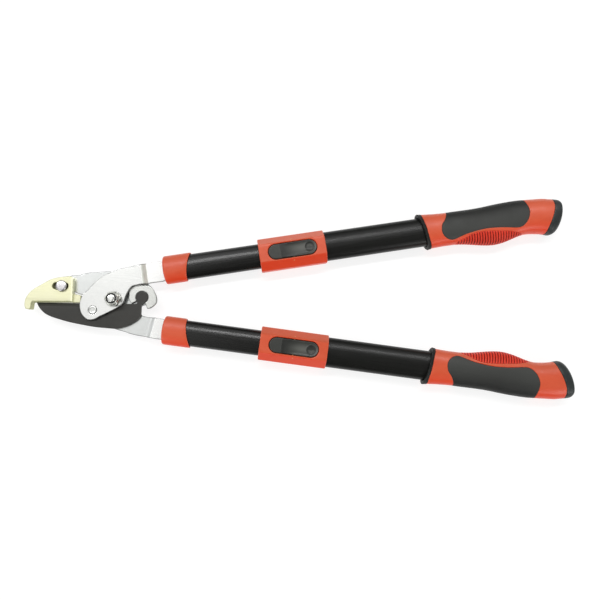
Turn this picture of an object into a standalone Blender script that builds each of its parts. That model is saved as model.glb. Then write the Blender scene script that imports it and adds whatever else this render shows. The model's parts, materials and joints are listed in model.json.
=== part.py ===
"""Telescopic anvil lopper with compound action, lying on its back, jaws closed, handles pushed in.

Frame: metres, +Z up out of the surface it lies on, +X from the jaws to the grips, +Y towards the
upper handle. The origin is under the middle of the whole tool, at the surface.

The shapes are drawn in millimetres. Head pieces use drawing coordinates (x, y) in the tool's plane.
Handle pieces use (s, v): s runs along the handle's axis from the point where both axes cross, and
v runs across it in the tool's plane, positive on the handle's outer side. Heights z are measured
from the plane that holds both handle axes.
"""

import math

import bmesh
import bpy
from mathutils import Matrix, Vector

MM = 0.001

# ---------------------------------------------------------------- driving dimensions, mm and degrees
CENTRE = (4.01, 5.32)         # drawing coordinates of the middle of the tool
AXIS_HEIGHT = 16.0           # handle axes above the surface
AXES_CROSS = (-425.6, -4.3)  # where the two handle axes meet
HALF_ANGLE = 8.364           # each handle from the tool's bisector
BISECTOR = 0.733             # bisector from +X

PIVOT = (-231.3, -0.9)       # main bolt
SOCKET = (-197.8, 2.1)       # centre of the blade's round root
DRIVE_PIN = (-256.7, -14.5)  # pin of the upper handle's plate, in the blade's slot
SWING = 60.0                 # upper handle, closed to open
RATIO = 1.0 / 3.0            # blade degrees for each handle degree

FRAME_Z = (-6.7, -2.5)       # rear plate: anvil arm, socket seat and lower handle's tang
BLADE_Z = (-2.1, 1.9)
DRIVE_Z = (2.3, 6.3)         # front plate on the upper handle
GAP = 0.3                    # between pieces that touch

BOLT_R, BOLT_END, HEX_AF = 5.0, 18.6, 17.0
PIN_R, PIN_HEAD_R = 3.3, 5.0
LOBE_R = 7.5
SCREW_AT, SCREW_R, SCREW_HEAD_R = (-295.2, 15.3), 4.0, 7.0
SOCKET_RIVETS = ((-211.8, 17.6), (-205.2, 20.2))
SOCKET_RIVET_R = 2.3

INNER_A, INNER_B, INNER_T = 15.95, 9.8, 1.4    # half width, half thickness, wall
OUTER_A, OUTER_B, OUTER_T = 18.75, 12.2, 1.4
INNER_S = (262.0, 735.0)
OUTER_S = (438.0, 743.0)
FERRULE_S = 257.3
COLLAR_S = (378.6, 463.3)
LOCK_S = 420.95              # lock lever's pivot, along the handle
LOCK_Z = 13.4
PEG_S = LOCK_S - 20.0
PEG_R = 2.6
HOLE_PITCH, HOLES = 40.0, 7  # lock holes of the inner tube: 6 steps of extension
LEVER_HALF, LEVER_W = 30.4, 9.3
WINDOW_HALF, WINDOW_W = 31.1, 10.0

PAD_T = 1.3                  # thickness of the soft pieces of the grip

# grip: s, outer side, inner side, half thickness
GRIP = (
    (588.0, 23.0, -23.5, 15.0),
    (604.0, 21.8, -22.6, 14.8),
    (626.0, 20.6, -22.1, 14.8),
    (640.0, 20.5, -22.8, 15.0),
    (652.0, 20.4, -25.3, 15.2),
    (664.0, 20.5, -27.9, 15.4),
    (680.0, 21.4, -30.4, 15.5),
    (696.0, 22.5, -29.2, 15.4),
    (718.0, 23.0, -23.6, 15.3),
    (732.0, 22.7, -22.9, 15.5),
    (755.0, 21.0, -27.3, 16.0),
    (765.0, 19.6, -29.6, 15.9),
    (787.0, 15.0, -31.5, 15.4),
)
PAD_EDGE = (
    (626.2, 32.0), (626.0, 20.4), (624.6, 17.0), (622.6, 13.0), (620.0, 9.0), (616.9, 5.6),
    (614.7, 1.6), (613.7, -4.4), (614.6, -8.6), (616.4, -11.8), (620.4, -15.4), (625.3, -17.2),
    (630.5, -17.0), (637.0, -15.1), (646.0, -12.8), (660.0, -10.8), (673.0, -10.0), (687.0, -10.9),
    (700.0, -12.6), (709.5, -14.1), (715.7, -14.6), (722.4, -12.4), (727.8, -6.9), (731.3, 0.1),
    (732.3, 5.9), (731.8, 12.0), (731.0, 17.6), (731.4, 32.0),
)
RIB_EDGE = (
    (632.0, -36.0), (633.2, -21.0), (637.4, -19.5), (642.5, -17.9), (648.8, -15.2), (655.4, -13.7),
    (662.0, -13.0), (675.0, -13.6), (688.0, -15.4), (702.0, -17.5), (712.0, -19.9), (719.0, -21.9),
    (720.5, -36.0),
)
RING_FRONT = ((587.2, 26.0), (587.8, 19.0), (589.3, 12.0), (590.4, 5.0), (591.4, -2.0),
              (592.8, -11.0), (594.6, -20.0), (596.4, -26.0))
RING_BACK = ((600.4, -26.0), (598.6, -20.0), (596.4, -10.8), (595.2, -0.5), (593.8, 9.0),
             (592.8, 16.0), (593.2, 26.0))
CAP_LINE = ((770.4, 26.0), (769.2, 18.0), (768.5, 13.5), (767.4, 7.5), (765.7, 2.6), (763.0, -3.6),
            (759.2, -10.7), (755.4, -17.5), (753.2, -22.4), (752.0, -28.0), (751.4, -36.0))
CAP_END = ((748.0, -40.0), (758.4, -31.0), (762.6, -28.0), (767.2, -24.2), (772.2, -17.9),
           (776.0, -9.8), (778.6, -2.4), (780.6, 4.8), (781.4, 9.6), (780.6, 13.4), (775.6, 18.4),
           (768.0, 26.0))

ANVIL_EDGE = (
    (-339.6, -8.5), (-339.4, -3.0), (-338.2, 0.6), (-336.0, 4.4), (-333.0, 8.2), (-328.4, 12.2),
    (-322.8, 15.6), (-317.2, 19.0), (-312.4, 22.0), (-307.2, 24.3), (-300.7, 25.9), (-294.1, 26.9),
    (-288.0, 27.6), (-284.6, 27.4), (-283.0, 25.6), (-282.2, 21.0), (-282.0, 10.0), (-282.0, -4.4),
    (-328.6, -4.4), (-331.2, -5.4), (-331.6, -8.0), (-332.0, -12.0), (-333.4, -13.4), (-336.8, -13.4),
    (-338.8, -11.8),
)
ANVIL_REAR = (
    (-339.6, -8.5), (-339.4, -3.0), (-338.2, 0.6), (-336.0, 4.4), (-333.0, 8.2), (-328.4, 12.2),
    (-322.8, 15.6), (-317.2, 19.0), (-312.4, 22.0), (-311.6, 8.0), (-282.0, 8.0), (-282.0, -4.4),
    (-328.6, -4.4), (-331.2, -5.4), (-331.6, -8.0), (-332.0, -12.0), (-333.4, -13.4), (-336.8, -13.4),
    (-338.8, -11.8),
)
ANVIL_HEEL = ((-284.0, 5.4), (-277.0, 5.2), (-272.9, 3.8), (-272.9, -4.2), (-284.0, -4.2))

FRAME_EDGE = (
    (-310.4, 14.0), (-308.6, 20.0), (-303.0, 24.0), (-295.0, 26.6), (-286.4, 29.7), (-282.7, 30.0),
    (-276.6, 30.8), (-271.2, 32.4), (-265.4, 33.5), (-259.0, 34.1), (-252.0, 34.6), (-242.7, 35.4),
    (-232.0, 34.8), (-221.0, 33.0), (-211.0, 29.8), (-202.0, 26.0), (-193.5, 21.0), (-187.4, 15.4),
    (-183.9, 9.8), (-181.4, 3.6), (-180.8, -1.0), (-181.6, -5.0), (-184.2, -7.4), (-190.0, -8.4),
    (-195.0, -7.2), (-199.2, -9.0), (-199.6, -14.0), (-199.2, -19.0), (-196.0, -21.2),
    (-189.6, -22.4), (-181.2, -23.2), (-174.8, -23.9),
)
FRAME_EDGE_BACK = (
    (-174.3, -50.4), (-180.4, -49.7), (-186.6, -48.6), (-195.0, -46.8), (-202.8, -45.5),
    (-212.2, -43.3), (-218.4, -41.0), (-224.6, -39.3), (-231.0, -37.4), (-239.0, -34.0),
    (-248.0, -28.6), (-256.5, -21.5), (-262.8, -13.0), (-267.2, -4.5), (-270.4, 2.4),
    (-273.4, 5.4), (-277.0, 6.6), (-284.9, 9.2), (-300.0, 9.4), (-307.0, 10.2),
)
DRIVE_EDGE = (
    (-268.6, 6.4), (-271.4, -0.4), (-272.6, -6.0), (-272.3, -11.0), (-270.9, -16.9), (-268.3, -21.3),
    (-264.3, -24.9), (-259.8, -26.4), (-254.7, -25.8), (-250.8, -24.1), (-247.2, -21.9),
    (-241.2, -19.1), (-235.2, -16.0), (-229.3, -12.9), (-224.7, -10.0), (-221.2, -7.0),
    (-218.8, -3.4), (-217.4, 1.2), (-216.1, 4.8), (-214.0, 9.2), (-211.8, 13.0), (-208.6, 15.8),
    (-202.8, 17.4), (-195.1, 18.8), (-188.0, 20.2), (-180.6, 21.3), (-173.2, 22.3),
)
DRIVE_EDGE_BACK = (
    (-174.6, 47.4), (-186.6, 46.8), (-193.5, 45.2), (-200.5, 43.2), (-206.6, 41.8), (-212.8, 40.2),
    (-218.9, 38.9), (-225.0, 37.5), (-230.5, 35.6), (-235.6, 33.3), (-239.6, 31.2), (-244.5, 28.5),
    (-249.0, 25.3), (-253.2, 22.0), (-257.0, 18.2), (-260.4, 14.0), (-263.6, 10.2),
)
SOCKET_EDGE = (  # outside of the socket, from the left tip over the top to the right tip
    (-210.4, -5.9), (-212.9, -2.6), (-214.0, 1.6), (-213.9, 5.6), (-214.6, 10.0), (-215.2, 15.0),
    (-214.4, 20.0), (-211.6, 23.6), (-207.5, 24.6), (-203.8, 23.4), (-202.0, 20.6), (-199.9, 17.2),
    (-194.0, 17.2), (-188.6, 15.8), (-185.2, 13.2), (-182.7, 9.4), (-180.2, 4.0), (-179.3, -1.0), (-180.0, -5.0),
    (-182.0, -7.6), (-184.6, -10.0), (-188.0, -11.8), (-191.0, -12.0),
)
BLADE_EDGE = (  # lower edge from the tip to the neck
    (-327.0, -5.2), (-323.2, -10.8), (-319.0, -15.7), (-314.4, -19.4), (-309.2, -22.0),
    (-303.8, -24.0), (-298.5, -25.6), (-291.1, -27.8), (-283.7, -29.7), (-276.3, -31.3),
    (-268.9, -32.7), (-261.5, -34.1), (-254.1, -35.2), (-246.7, -36.0), (-239.3, -36.6),
    (-231.9, -37.2), (-227.6, -37.2), (-224.6, -36.7), (-221.0, -35.8), (-217.3, -34.6),
    (-213.6, -33.1), (-210.0, -31.2), (-206.4, -29.0), (-202.9, -26.4), (-200.4, -23.6),
    (-198.9, -20.8), (-198.5, -18.0), (-198.4, -13.4),
)
BLADE_TOP_Y = (-5.15, -6.2)  # cutting edge: at the tip, at the heel
GROUND = 5.0                 # width of the ground edge

BLACK_TUBE = (0.030, 0.030, 0.028, 1.0)
RED = (0.66, 0.085, 0.040, 1.0)
RUBBER = (0.050, 0.051, 0.050, 1.0)
BELLY = (0.62, 0.050, 0.035, 1.0)
STEEL = (0.78, 0.78, 0.76, 1.0)
COATED = (0.058, 0.057, 0.054, 1.0)
BRASS = (0.86, 0.80, 0.47, 1.0)
LEVER = (0.062, 0.068, 0.064, 1.0)
CAP = (0.055, 0.062, 0.062, 1.0)
NYLON = (0.30, 0.30, 0.28, 1.0)


# ---------------------------------------------------------------- scene, materials, placement
for old in list(bpy.data.objects):
    bpy.data.objects.remove(old, do_unlink=True)
bpy.context.scene.unit_settings.scale_length = 1.0


def material(name, colour, roughness, metallic):
    made = bpy.data.materials.new(name)
    made.use_nodes = True
    shader = made.node_tree.nodes["Principled BSDF"]
    shader.inputs["Base Color"].default_value = colour
    shader.inputs["Roughness"].default_value = roughness
    shader.inputs["Metallic"].default_value = metallic
    made.diffuse_color = colour
    return made


MATERIALS = {
    "steel": material("steel", STEEL, 0.32, 1.0),
    "coated": material("coated_steel", COATED, 0.48, 0.2),
    "brass": material("anvil_brass", BRASS, 0.36, 1.0),
    "tube": material("black_tube", BLACK_TUBE, 0.34, 0.2),
    "red": material("red_plastic", RED, 0.42, 0.0),
    "belly": material("red_rubber", BELLY, 0.52, 0.0),
    "rubber": material("black_rubber", RUBBER, 0.62, 0.0),
    "lever": material("lever_plastic", LEVER, 0.45, 0.0),
    "cap": material("cap_plastic", CAP, 0.5, 0.0),
    "nylon": material("inner_plastic", NYLON, 0.55, 0.0),
}


def empty(name, location, angle=0.0, parent=None):
    made = bpy.data.objects.new(name, None)
    made.location = location
    made.rotation_euler = (0.0, 0.0, angle)
    made.parent = parent
    bpy.context.scene.collection.objects.link(made)
    return made


def place(x, y, z=0.0):
    """World position, in metres, of a drawing point."""
    return Vector(((x - CENTRE[0]) * MM, (y - CENTRE[1]) * MM, (z + AXIS_HEIGHT) * MM))


def to_object(name, bm):
    """A mesh object from a bmesh drawn in millimetres."""
    bmesh.ops.recalc_face_normals(bm, faces=bm.faces)
    mesh = bpy.data.meshes.new(name)
    bm.to_mesh(mesh)
    bm.free()
    mesh.transform(Matrix.Scale(MM, 4))
    if sum(p.area * p.normal.dot(p.center) for p in mesh.polygons) < 0:
        mesh.flip_normals()
    made = bpy.data.objects.new(name, mesh)
    bpy.context.scene.collection.objects.link(made)
    return made


def combined(base, other, operation):
    """Boolean of two objects drawn in the same frame. The second one is used up."""
    made = base.modifiers.new("combine", "BOOLEAN")
    made.operation = operation
    made.solver = "EXACT"
    made.object = other
    other.hide_render = True
    other.display_type = "WIRE"
    bpy.context.view_layer.update()
    graph = bpy.context.evaluated_depsgraph_get()
    mesh = bpy.data.meshes.new_from_object(base.evaluated_get(graph))
    base.modifiers.clear()
    old = base.data
    base.data = mesh
    bpy.data.meshes.remove(old)
    used = other.data
    bpy.data.objects.remove(other, do_unlink=True)
    bpy.data.meshes.remove(used)
    return base


def cut(base, *others):
    for other in others:
        combined(base, other, "DIFFERENCE")
    return base


def join(base, *others):
    for other in others:
        combined(base, other, "UNION")
    return base


def keep(base, other):
    return combined(base, other, "INTERSECT")


def finish(made, look, smooth=True):
    made.data.materials.clear()
    made.data.materials.append(MATERIALS[look])
    if smooth:
        made.data.shade_smooth()
        made.data.set_sharp_from_angle(angle=math.radians(32.0))
    return made


def on_head(made, look, parent, smooth=True):
    """Hangs a head piece on its pivot's empty, so that its origin is on the joint's axis."""
    finish(made, look, smooth)
    at = parent.location
    made.data.transform(Matrix.Translation(place(0.0, 0.0) - at))
    made.parent = parent
    return made


# ---------------------------------------------------------------- shapes
def smooth_line(points, steps, closed=False):
    """A curve through the points (Catmull-Rom)."""
    points = [Vector(p) for p in points]
    n = len(points)
    made = []
    for i in range(n if closed else n - 1):
        if closed:
            a, b, c, d = (points[(i + k) % n] for k in (-1, 0, 1, 2))
        else:
            a, b, c, d = (points[max(0, min(n - 1, i + k))] for k in (-1, 0, 1, 2))
        for j in range(steps):
            t = j / steps
            made.append(
                0.5 * (2 * b + (c - a) * t + (2 * a - 5 * b + 4 * c - d) * t * t
                       + (3 * b - a - 3 * c + d) * t * t * t)
            )
    if not closed:
        made.append(points[-1])
    return made


def solid_sheet(bm, low, high):
    """Gives the flat sheet in bm a thickness: its points keep their z as an offset."""
    base = list(bm.verts)
    for v in base:
        v.co.z += low
    edges = [e for e in bm.edges if len(e.link_faces) == 1]
    above = {v: bm.verts.new(v.co + Vector((0, 0, high - low))) for v in base}
    for f in list(bm.faces):
        bm.faces.new([above[v] for v in f.verts])
    for e in edges:
        a, b = e.verts
        bm.faces.new((a, b, above[b], above[a]))


def plate(name, outline, low, high, bend=None):
    """A flat piece. bend = (point, direction, length, rise, from, to): a joggle between two heights y."""
    bm = bmesh.new()
    bm.faces.new([bm.verts.new((p[0], p[1], 0.0)) for p in outline])
    if bend:
        bmesh.ops.triangulate(bm, faces=bm.faces[:])
        at, along, length, rise, low_y, high_y = bend
        at, along = Vector((*at, 0.0)), Vector((*along, 0.0)).normalized()
        for distance in (0.0, length):
            bmesh.ops.bisect_plane(bm, geom=bm.verts[:] + bm.edges[:] + bm.faces[:],
                                   plane_co=at + along * distance, plane_no=along, dist=1e-5)
        for v in bm.verts:
            if low_y < v.co.y < high_y:
                v.co.z = rise * min(1.0, max(0.0, (Vector((v.co.x, v.co.y, 0.0)) - at).dot(along) / length))
    solid_sheet(bm, low, high)
    return to_object(name, bm)


def disc(centre, radius, count=24, start=0.0):
    return [(centre[0] + radius * math.cos(start + 2 * math.pi * i / count),
             centre[1] + radius * math.sin(start + 2 * math.pi * i / count)) for i in range(count)]


def capsule(a, b, radius, count=6):
    """Outline of a slot between two centres."""
    a, b = Vector(a), Vector(b)
    angle = math.atan2(b.y - a.y, b.x - a.x)
    made = []
    for centre, start in ((b, angle - math.pi / 2), (a, angle + math.pi / 2)):
        for i in range(count + 1):
            t = start + math.pi * i / count
            made.append((centre.x + radius * math.cos(t), centre.y + radius * math.sin(t)))
    return made


def offset_path(points, radius, count=6):
    """Outline of a slot that follows a path."""
    points = [Vector(p) for p in points]
    left, right = [], []
    for i, p in enumerate(points):
        d = (points[min(i + 1, len(points) - 1)] - points[max(i - 1, 0)]).normalized()
        n = Vector((-d.y, d.x))
        left.append(p + n * radius)
        right.append(p - n * radius)
    ends = []
    for p, q in ((points[-1], points[-2]), (points[0], points[1])):
        d = (p - q).normalized()
        angle = math.atan2(d.y, d.x)
        ends.append([p + radius * Vector((math.cos(angle + t), math.sin(angle + t)))
                     for t in (math.pi / 2 - math.pi * i / count for i in range(1, count))])
    return [tuple(p) for p in left + ends[0] + right[::-1] + ends[1]]


def loft(rings, loop=False):
    """A skin over rings of equal count. loop joins the last ring to the first, for a sleeve."""
    bm = bmesh.new()
    made = [[bm.verts.new(p) for p in ring] for ring in rings]
    n = len(made[0])
    for k in range(len(made) if loop else len(made) - 1):
        a, b = made[k], made[(k + 1) % len(made)]
        for i in range(n):
            j = (i + 1) % n
            bm.faces.new((a[i], a[j], b[j], b[i]))
    if not loop:
        bm.faces.new(made[0])
        bm.faces.new(made[-1])
    return bm


def hex_radius(angle, flats):
    """Distance from the centre to a hexagon's side."""
    step = math.pi / 3
    return 0.5 * flats / math.cos((angle % step) - step / 2)


def turned(name, centre, profile, loop=False, count=18):
    """A piece turned about a vertical axis. profile = (radius or ("hex", flats), z)."""
    rings = []
    for size, z in profile:
        ring = []
        for i in range(count):
            t = 2 * math.pi * i / count
            r = hex_radius(t, size[1]) if isinstance(size, tuple) else size
            ring.append((centre[0] + r * math.cos(t), centre[1] + r * math.sin(t), z))
        rings.append(ring)
    return to_object(name, loft(rings, loop))


def oval(s, a, b, centre=0.0, side=1, power=2.25, count=24, z=0.0):
    """A ring of the handle's oval section, square to its axis."""
    made = []
    for i in range(count):
        t = 2 * math.pi * i / count
        c, d = math.cos(t), math.sin(t)
        made.append((s, side * (centre + a * math.copysign(abs(c) ** (2 / power), c)),
                     z + b * math.copysign(abs(d) ** (2 / power), d)))
    return made


def sleeve(name, ends, outer, inner, side=1, count=24):
    rings = [oval(ends[0], *outer, side=side, count=count), oval(ends[1], *outer, side=side, count=count),
             oval(ends[1], *inner, side=side, count=count), oval(ends[0], *inner, side=side, count=count)]
    return to_object(name, loft(rings, True))


def bar(name, ends, half, side=1, count=24, centre=0.0):
    return to_object(name, loft([oval(ends[0], *half, centre=centre, side=side, count=count),
                                 oval(ends[1], *half, centre=centre, side=side, count=count)]))


def drawn(name, outline, low, high, side):
    """A prism through the handle: its outline is drawn in (s, v)."""
    return plate(name, [(s, side * v) for s, v in outline], low, high)


def box(name, low, high):
    outline = [(low[0], low[1]), (high[0], low[1]), (high[0], high[1]), (low[0], high[1])]
    return plate(name, outline, low[2], high[2])


def rod(name, centre, radius, low, high, count=12):
    """A round bar along z."""
    return plate(name, disc(centre, radius, count), low, high)


def cross_rod(name, s, z, radius, reach, count=12):
    """A round bar across the handle."""
    rings = [[(s + radius * math.cos(2 * math.pi * i / count), v,
               z + radius * math.sin(2 * math.pi * i / count)) for i in range(count)]
             for v in (-reach, reach)]
    return to_object(name, loft(rings))


def grown(outline, distance):
    """The outline moved outward by a small distance."""
    points = [Vector(p) for p in outline]
    n = len(points)
    area = sum(points[i].x * points[(i + 1) % n].y - points[(i + 1) % n].x * points[i].y for i in range(n))
    turn = 1.0 if area > 0 else -1.0
    made = []
    for i, p in enumerate(points):
        d = (points[(i + 1) % n] - points[i - 1]).normalized()
        made.append(tuple(p + turn * distance * Vector((d.y, -d.x))))
    return made


def pin_at(angle):
    """The drive pin's place when the upper handle has opened by this angle."""
    t = math.radians(angle)
    x, y = DRIVE_PIN[0] - PIVOT[0], DRIVE_PIN[1] - PIVOT[1]
    return (PIVOT[0] + x * math.cos(t) - y * math.sin(t), PIVOT[1] + x * math.sin(t) + y * math.cos(t))


def slot_path():
    """The pin's path in the blade: it keeps the blade's turn at RATIO times the handle's."""
    made = []
    for k in range(9):
        angle = -1.0 + (SWING + 2.0) * k / 8
        x, y = pin_at(angle)
        t = -math.radians(RATIO * angle)
        x, y = x - SOCKET[0], y - SOCKET[1]
        made.append((SOCKET[0] + x * math.cos(t) - y * math.sin(t), SOCKET[1] + x * math.sin(t) + y * math.cos(t)))
    return made


def handle_point(side, s, v):
    """Drawing coordinates of a point given along and across a handle."""
    t = math.radians(BISECTOR + side * HALF_ANGLE)
    return (AXES_CROSS[0] + s * math.cos(t) - side * v * math.sin(t),
            AXES_CROSS[1] + s * math.sin(t) + side * v * math.cos(t))


# ---------------------------------------------------------------- frames of the bodies
tool = empty("tool", (0.0, 0.0, 0.0))
pivot_axis = empty("pivot_axis", place(*PIVOT), parent=tool)
socket_axis = empty("socket_axis", place(*SOCKET), parent=tool)
frame_origin = empty("frame_origin", place(*SOCKET), parent=tool)

# ---------------------------------------------------------------- head: fixed pieces
tang = [handle_point(-1, s, v) for s, v in ((261.0, -12.6), (300.0, -11.6), (300.0, 11.6), (261.0, 12.2))]
frame_plate = plate("frame_plate", list(FRAME_EDGE) + tang + list(FRAME_EDGE_BACK), *FRAME_Z,
                    bend=((-189.2, -36.0), (1.0, -0.25), 5.5, 4.6, -90.0, -16.0))
cut(frame_plate,
    rod("hole", PIVOT, BOLT_R + GAP, -9.0, 0.0, 24),
    rod("hole", SCREW_AT, SCREW_R + GAP, -9.0, 0.0),
    *[rod("hole", at, SOCKET_RIVET_R + GAP, -9.0, 0.0) for at in SOCKET_RIVETS],
    rod("hole", handle_point(-1, 280.0, 0.0), 2.4 + GAP, -9.0, 9.0))
on_head(frame_plate, "steel", frame_origin)

inner_arc = []
for k in range(21):  # round seat of the blade's root, from the right tip over the top to the left tip
    t = math.radians(299.0 + (215.0 + 360.0 - 299.0) * k / 20)
    inner_arc.append((SOCKET[0] + (LOBE_R + GAP) * math.cos(t), SOCKET[1] + (LOBE_R + GAP) * math.sin(t)))
socket = plate("pivot_socket", list(SOCKET_EDGE) + inner_arc, *BLADE_Z)
cut(socket, *[rod("hole", at, SOCKET_RIVET_R + GAP, -9.0, 9.0) for at in SOCKET_RIVETS])
on_head(socket, "steel", frame_origin)

for name, at in zip(("socket_rivet_a", "socket_rivet_b"), SOCKET_RIVETS):
    on_head(turned(name, at, ((2.5, -8.5), (3.3, -8.0), (3.3, -7.0), (SOCKET_RIVET_R, -7.0),
                              (SOCKET_RIVET_R, 1.7)), count=16), "steel", frame_origin)

anvil = plate("anvil", ANVIL_EDGE, BLADE_Z[0], 5.5)
join(anvil, plate("rear", grown(ANVIL_REAR, 0.02), -5.5, -1.0), plate("heel", ANVIL_HEEL, -5.2, 1.9))
cut(anvil, plate("slot", capsule((SCREW_AT[0] - 7.2, SCREW_AT[1]), (SCREW_AT[0] + 5.0, SCREW_AT[1]), 4.4), -9.0, 9.0))
on_head(anvil, "brass", frame_origin)
on_head(turned("anvil_screw", SCREW_AT, ((SCREW_R - 0.6, -13.4), (SCREW_R, -12.8), (SCREW_R, 5.8), (SCREW_HEAD_R, 5.8),
                                         (SCREW_HEAD_R, 7.2), (6.2, 8.6), (4.4, 9.5), (2.0, 9.9))), "steel", frame_origin)
on_head(turned("anvil_nut", SCREW_AT, ((("hex", 12.4), -7.0), (("hex", 13.0), -7.5), (("hex", 13.0), -12.0),
                                       (("hex", 12.0), -12.5), (SCREW_R + GAP, -12.5), (SCREW_R + GAP, -7.0)),
               loop=True), "steel", frame_origin)

on_head(turned("pivot_bolt", PIVOT, ((7.2, -16.0), (("hex", 16.6), -15.4), (("hex", 17.0), -15.0),
                                     (("hex", 17.0), -9.2), (BOLT_R, -9.2), (BOLT_R, BOLT_END - 1.0),
                                     (BOLT_R - 1.0, BOLT_END))), "steel", frame_origin)
on_head(turned("pivot_nut", PIVOT, ((("hex", 16.2), 8.3), (("hex", 17.0), 8.9), (("hex", 17.0), 13.6),
                                    (("hex", 16.0), 14.3), (7.3, 14.3), (7.3, 16.6), (6.6, 17.4),
                                    (BOLT_R + GAP, 17.4), (BOLT_R + GAP, 8.3)), loop=True), "steel", frame_origin)
for name, radius, low, high in (("front_washer", 9.9, 6.7, 8.0), ("rear_washer", 11.0, -8.9, -7.0),
                                ("pivot_bush", 7.9, BLADE_Z[0], BLADE_Z[1])):
    on_head(turned(name, PIVOT, ((radius, low), (radius, high), (BOLT_R + GAP, high), (BOLT_R + GAP, low)),
                   loop=True), "steel", frame_origin)

# ---------------------------------------------------------------- head: drive plate of the upper handle
tang = [handle_point(1, s, v) for s, v in ((261.0, -12.8), (300.0, -11.6), (300.0, 11.6), (261.0, 11.6))]
drive_plate = plate("drive_plate", list(DRIVE_EDGE) + tang + list(DRIVE_EDGE_BACK), *DRIVE_Z,
                    bend=((-197.3, 31.0), (1.0, 0.16), 5.2, -4.3, -90.0, 90.0))
cut(drive_plate,
    rod("hole", PIVOT, BOLT_R + GAP, 0.0, 9.0, 24),
    rod("hole", DRIVE_PIN, PIN_R + GAP, 0.0, 9.0, 20),
    rod("sink", DRIVE_PIN, PIN_HEAD_R + GAP, 4.2, 9.0, 20),
    rod("hole", handle_point(1, 280.0, 0.0), 2.4 + GAP, -9.0, 9.0))
on_head(drive_plate, "steel", pivot_axis)
on_head(turned("drive_pin", DRIVE_PIN, ((PIN_R - 0.4, -1.9), (PIN_R, -1.5), (PIN_R, 4.5), (PIN_HEAD_R, 4.5),
                                        (PIN_HEAD_R, 6.0), (PIN_HEAD_R - 0.5, 6.4)), count=16),
        "steel", pivot_axis)

# ---------------------------------------------------------------- blade
def edge_y(x):
    x0, x1 = BLADE_EDGE[0][0], SOCKET[0] - 7.0
    return BLADE_TOP_Y[0] + (BLADE_TOP_Y[1] - BLADE_TOP_Y[0]) * (x - x0) / (x1 - x0)


clear = 9.0  # the edge is scalloped round the main bolt, behind the drive plate
half = math.sqrt(clear ** 2 - (PIVOT[1] - edge_y(PIVOT[0])) ** 2)
scallop = []
for k in range(9):
    x = PIVOT[0] + half * math.cos(math.pi * k / 8)
    scallop.append((x, PIVOT[1] - math.sqrt(max(0.0, clear ** 2 - (x - PIVOT[0]) ** 2))))
scallop[0], scallop[-1] = (PIVOT[0] + half, edge_y(PIVOT[0])), (PIVOT[0] - half, edge_y(PIVOT[0]))
lobe = []
for k in range(17):  # from the right of the neck over the top to its left
    t = math.radians(-85.0 + (225.0 + 85.0) * k / 16)
    lobe.append((SOCKET[0] + LOBE_R * math.cos(t), SOCKET[1] + LOBE_R * math.sin(t)))
left_neck = [(SOCKET[0] - 6.6, edge_y(SOCKET[0] - 6.6) + 0.6), (SOCKET[0] - 9.0, edge_y(SOCKET[0] - 9.0))]
blade_outline = list(BLADE_EDGE) + [(-197.1, -9.0)] + lobe + left_neck + scallop
bm = bmesh.new()
bm.faces.new([bm.verts.new((x, y, 0.0)) for x, y in blade_outline])
bmesh.ops.triangulate(bm, faces=bm.faces[:])
slope = (BLADE_TOP_Y[1] - BLADE_TOP_Y[0]) / (SOCKET[0] - 7.0 - BLADE_EDGE[0][0])
bmesh.ops.bisect_plane(bm, geom=bm.verts[:] + bm.edges[:] + bm.faces[:], plane_no=(slope, -1.0, 0.0),
                       plane_co=(BLADE_EDGE[0][0], BLADE_TOP_Y[0] - GROUND, 0.0), dist=1e-5)
grind_end = -266.0
bmesh.ops.bisect_plane(bm, geom=bm.verts[:] + bm.edges[:] + bm.faces[:], plane_no=(1.0, 0.0, 0.0),
                       plane_co=(grind_end, 0.0, 0.0), dist=1e-5)
solid_sheet(bm, *BLADE_Z)
for v in bm.verts:  # both faces are ground to the cutting edge
    depth = edge_y(v.co.x) - v.co.y
    if v.co.x < grind_end - 1e-4 and depth < GROUND - 0.05:
        share = max(0.12, depth / GROUND)
        middle = 0.5 * (BLADE_Z[0] + BLADE_Z[1])
        v.co.z = middle + (v.co.z - middle) * share
blade = to_object("blade", bm)
cut(blade, plate("slot", offset_path(slot_path(), PIN_R + GAP), -9.0, 9.0))
on_head(blade, "coated", socket_axis)


# ---------------------------------------------------------------- handles
def swoop(v):
    """Rear edge of the ferrule: longer on the handle's outer side."""
    return 287.2 + 0.2444 * v + 0.00648 * v * v


def collar_ring(s, shrink=0.0):
    """Section of the collar: flat front and back, a slanted facet at each corner."""
    half = ((20.9, 0.0), (21.0, 3.6), (19.9, 6.8), (12.4, 15.6), (10.8, 16.5), (0.0, 16.5),
            (-10.8, 16.5), (-12.4, 15.6), (-19.9, 6.8), (-21.0, 3.6), (-20.9, 0.0),
            (-21.0, -3.6), (-19.9, -6.8), (-12.4, -14.7), (-10.8, -15.5), (0.0, -15.5),
            (10.8, -15.5), (12.4, -14.7), (19.9, -6.8), (21.0, -3.6))
    return [(s, v * (1 - shrink / 21.0), z * (1 - shrink / 16.0)) for v, z in half]


def grip_skin(name, side, inset=0.0, count=22):
    return to_object(name, loft([
        oval(s, (top - bottom) / 2 - inset, b - inset, (top + bottom) / 2, side, 2.35, count)
        for s, top, bottom, b in GRIP]))


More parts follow.
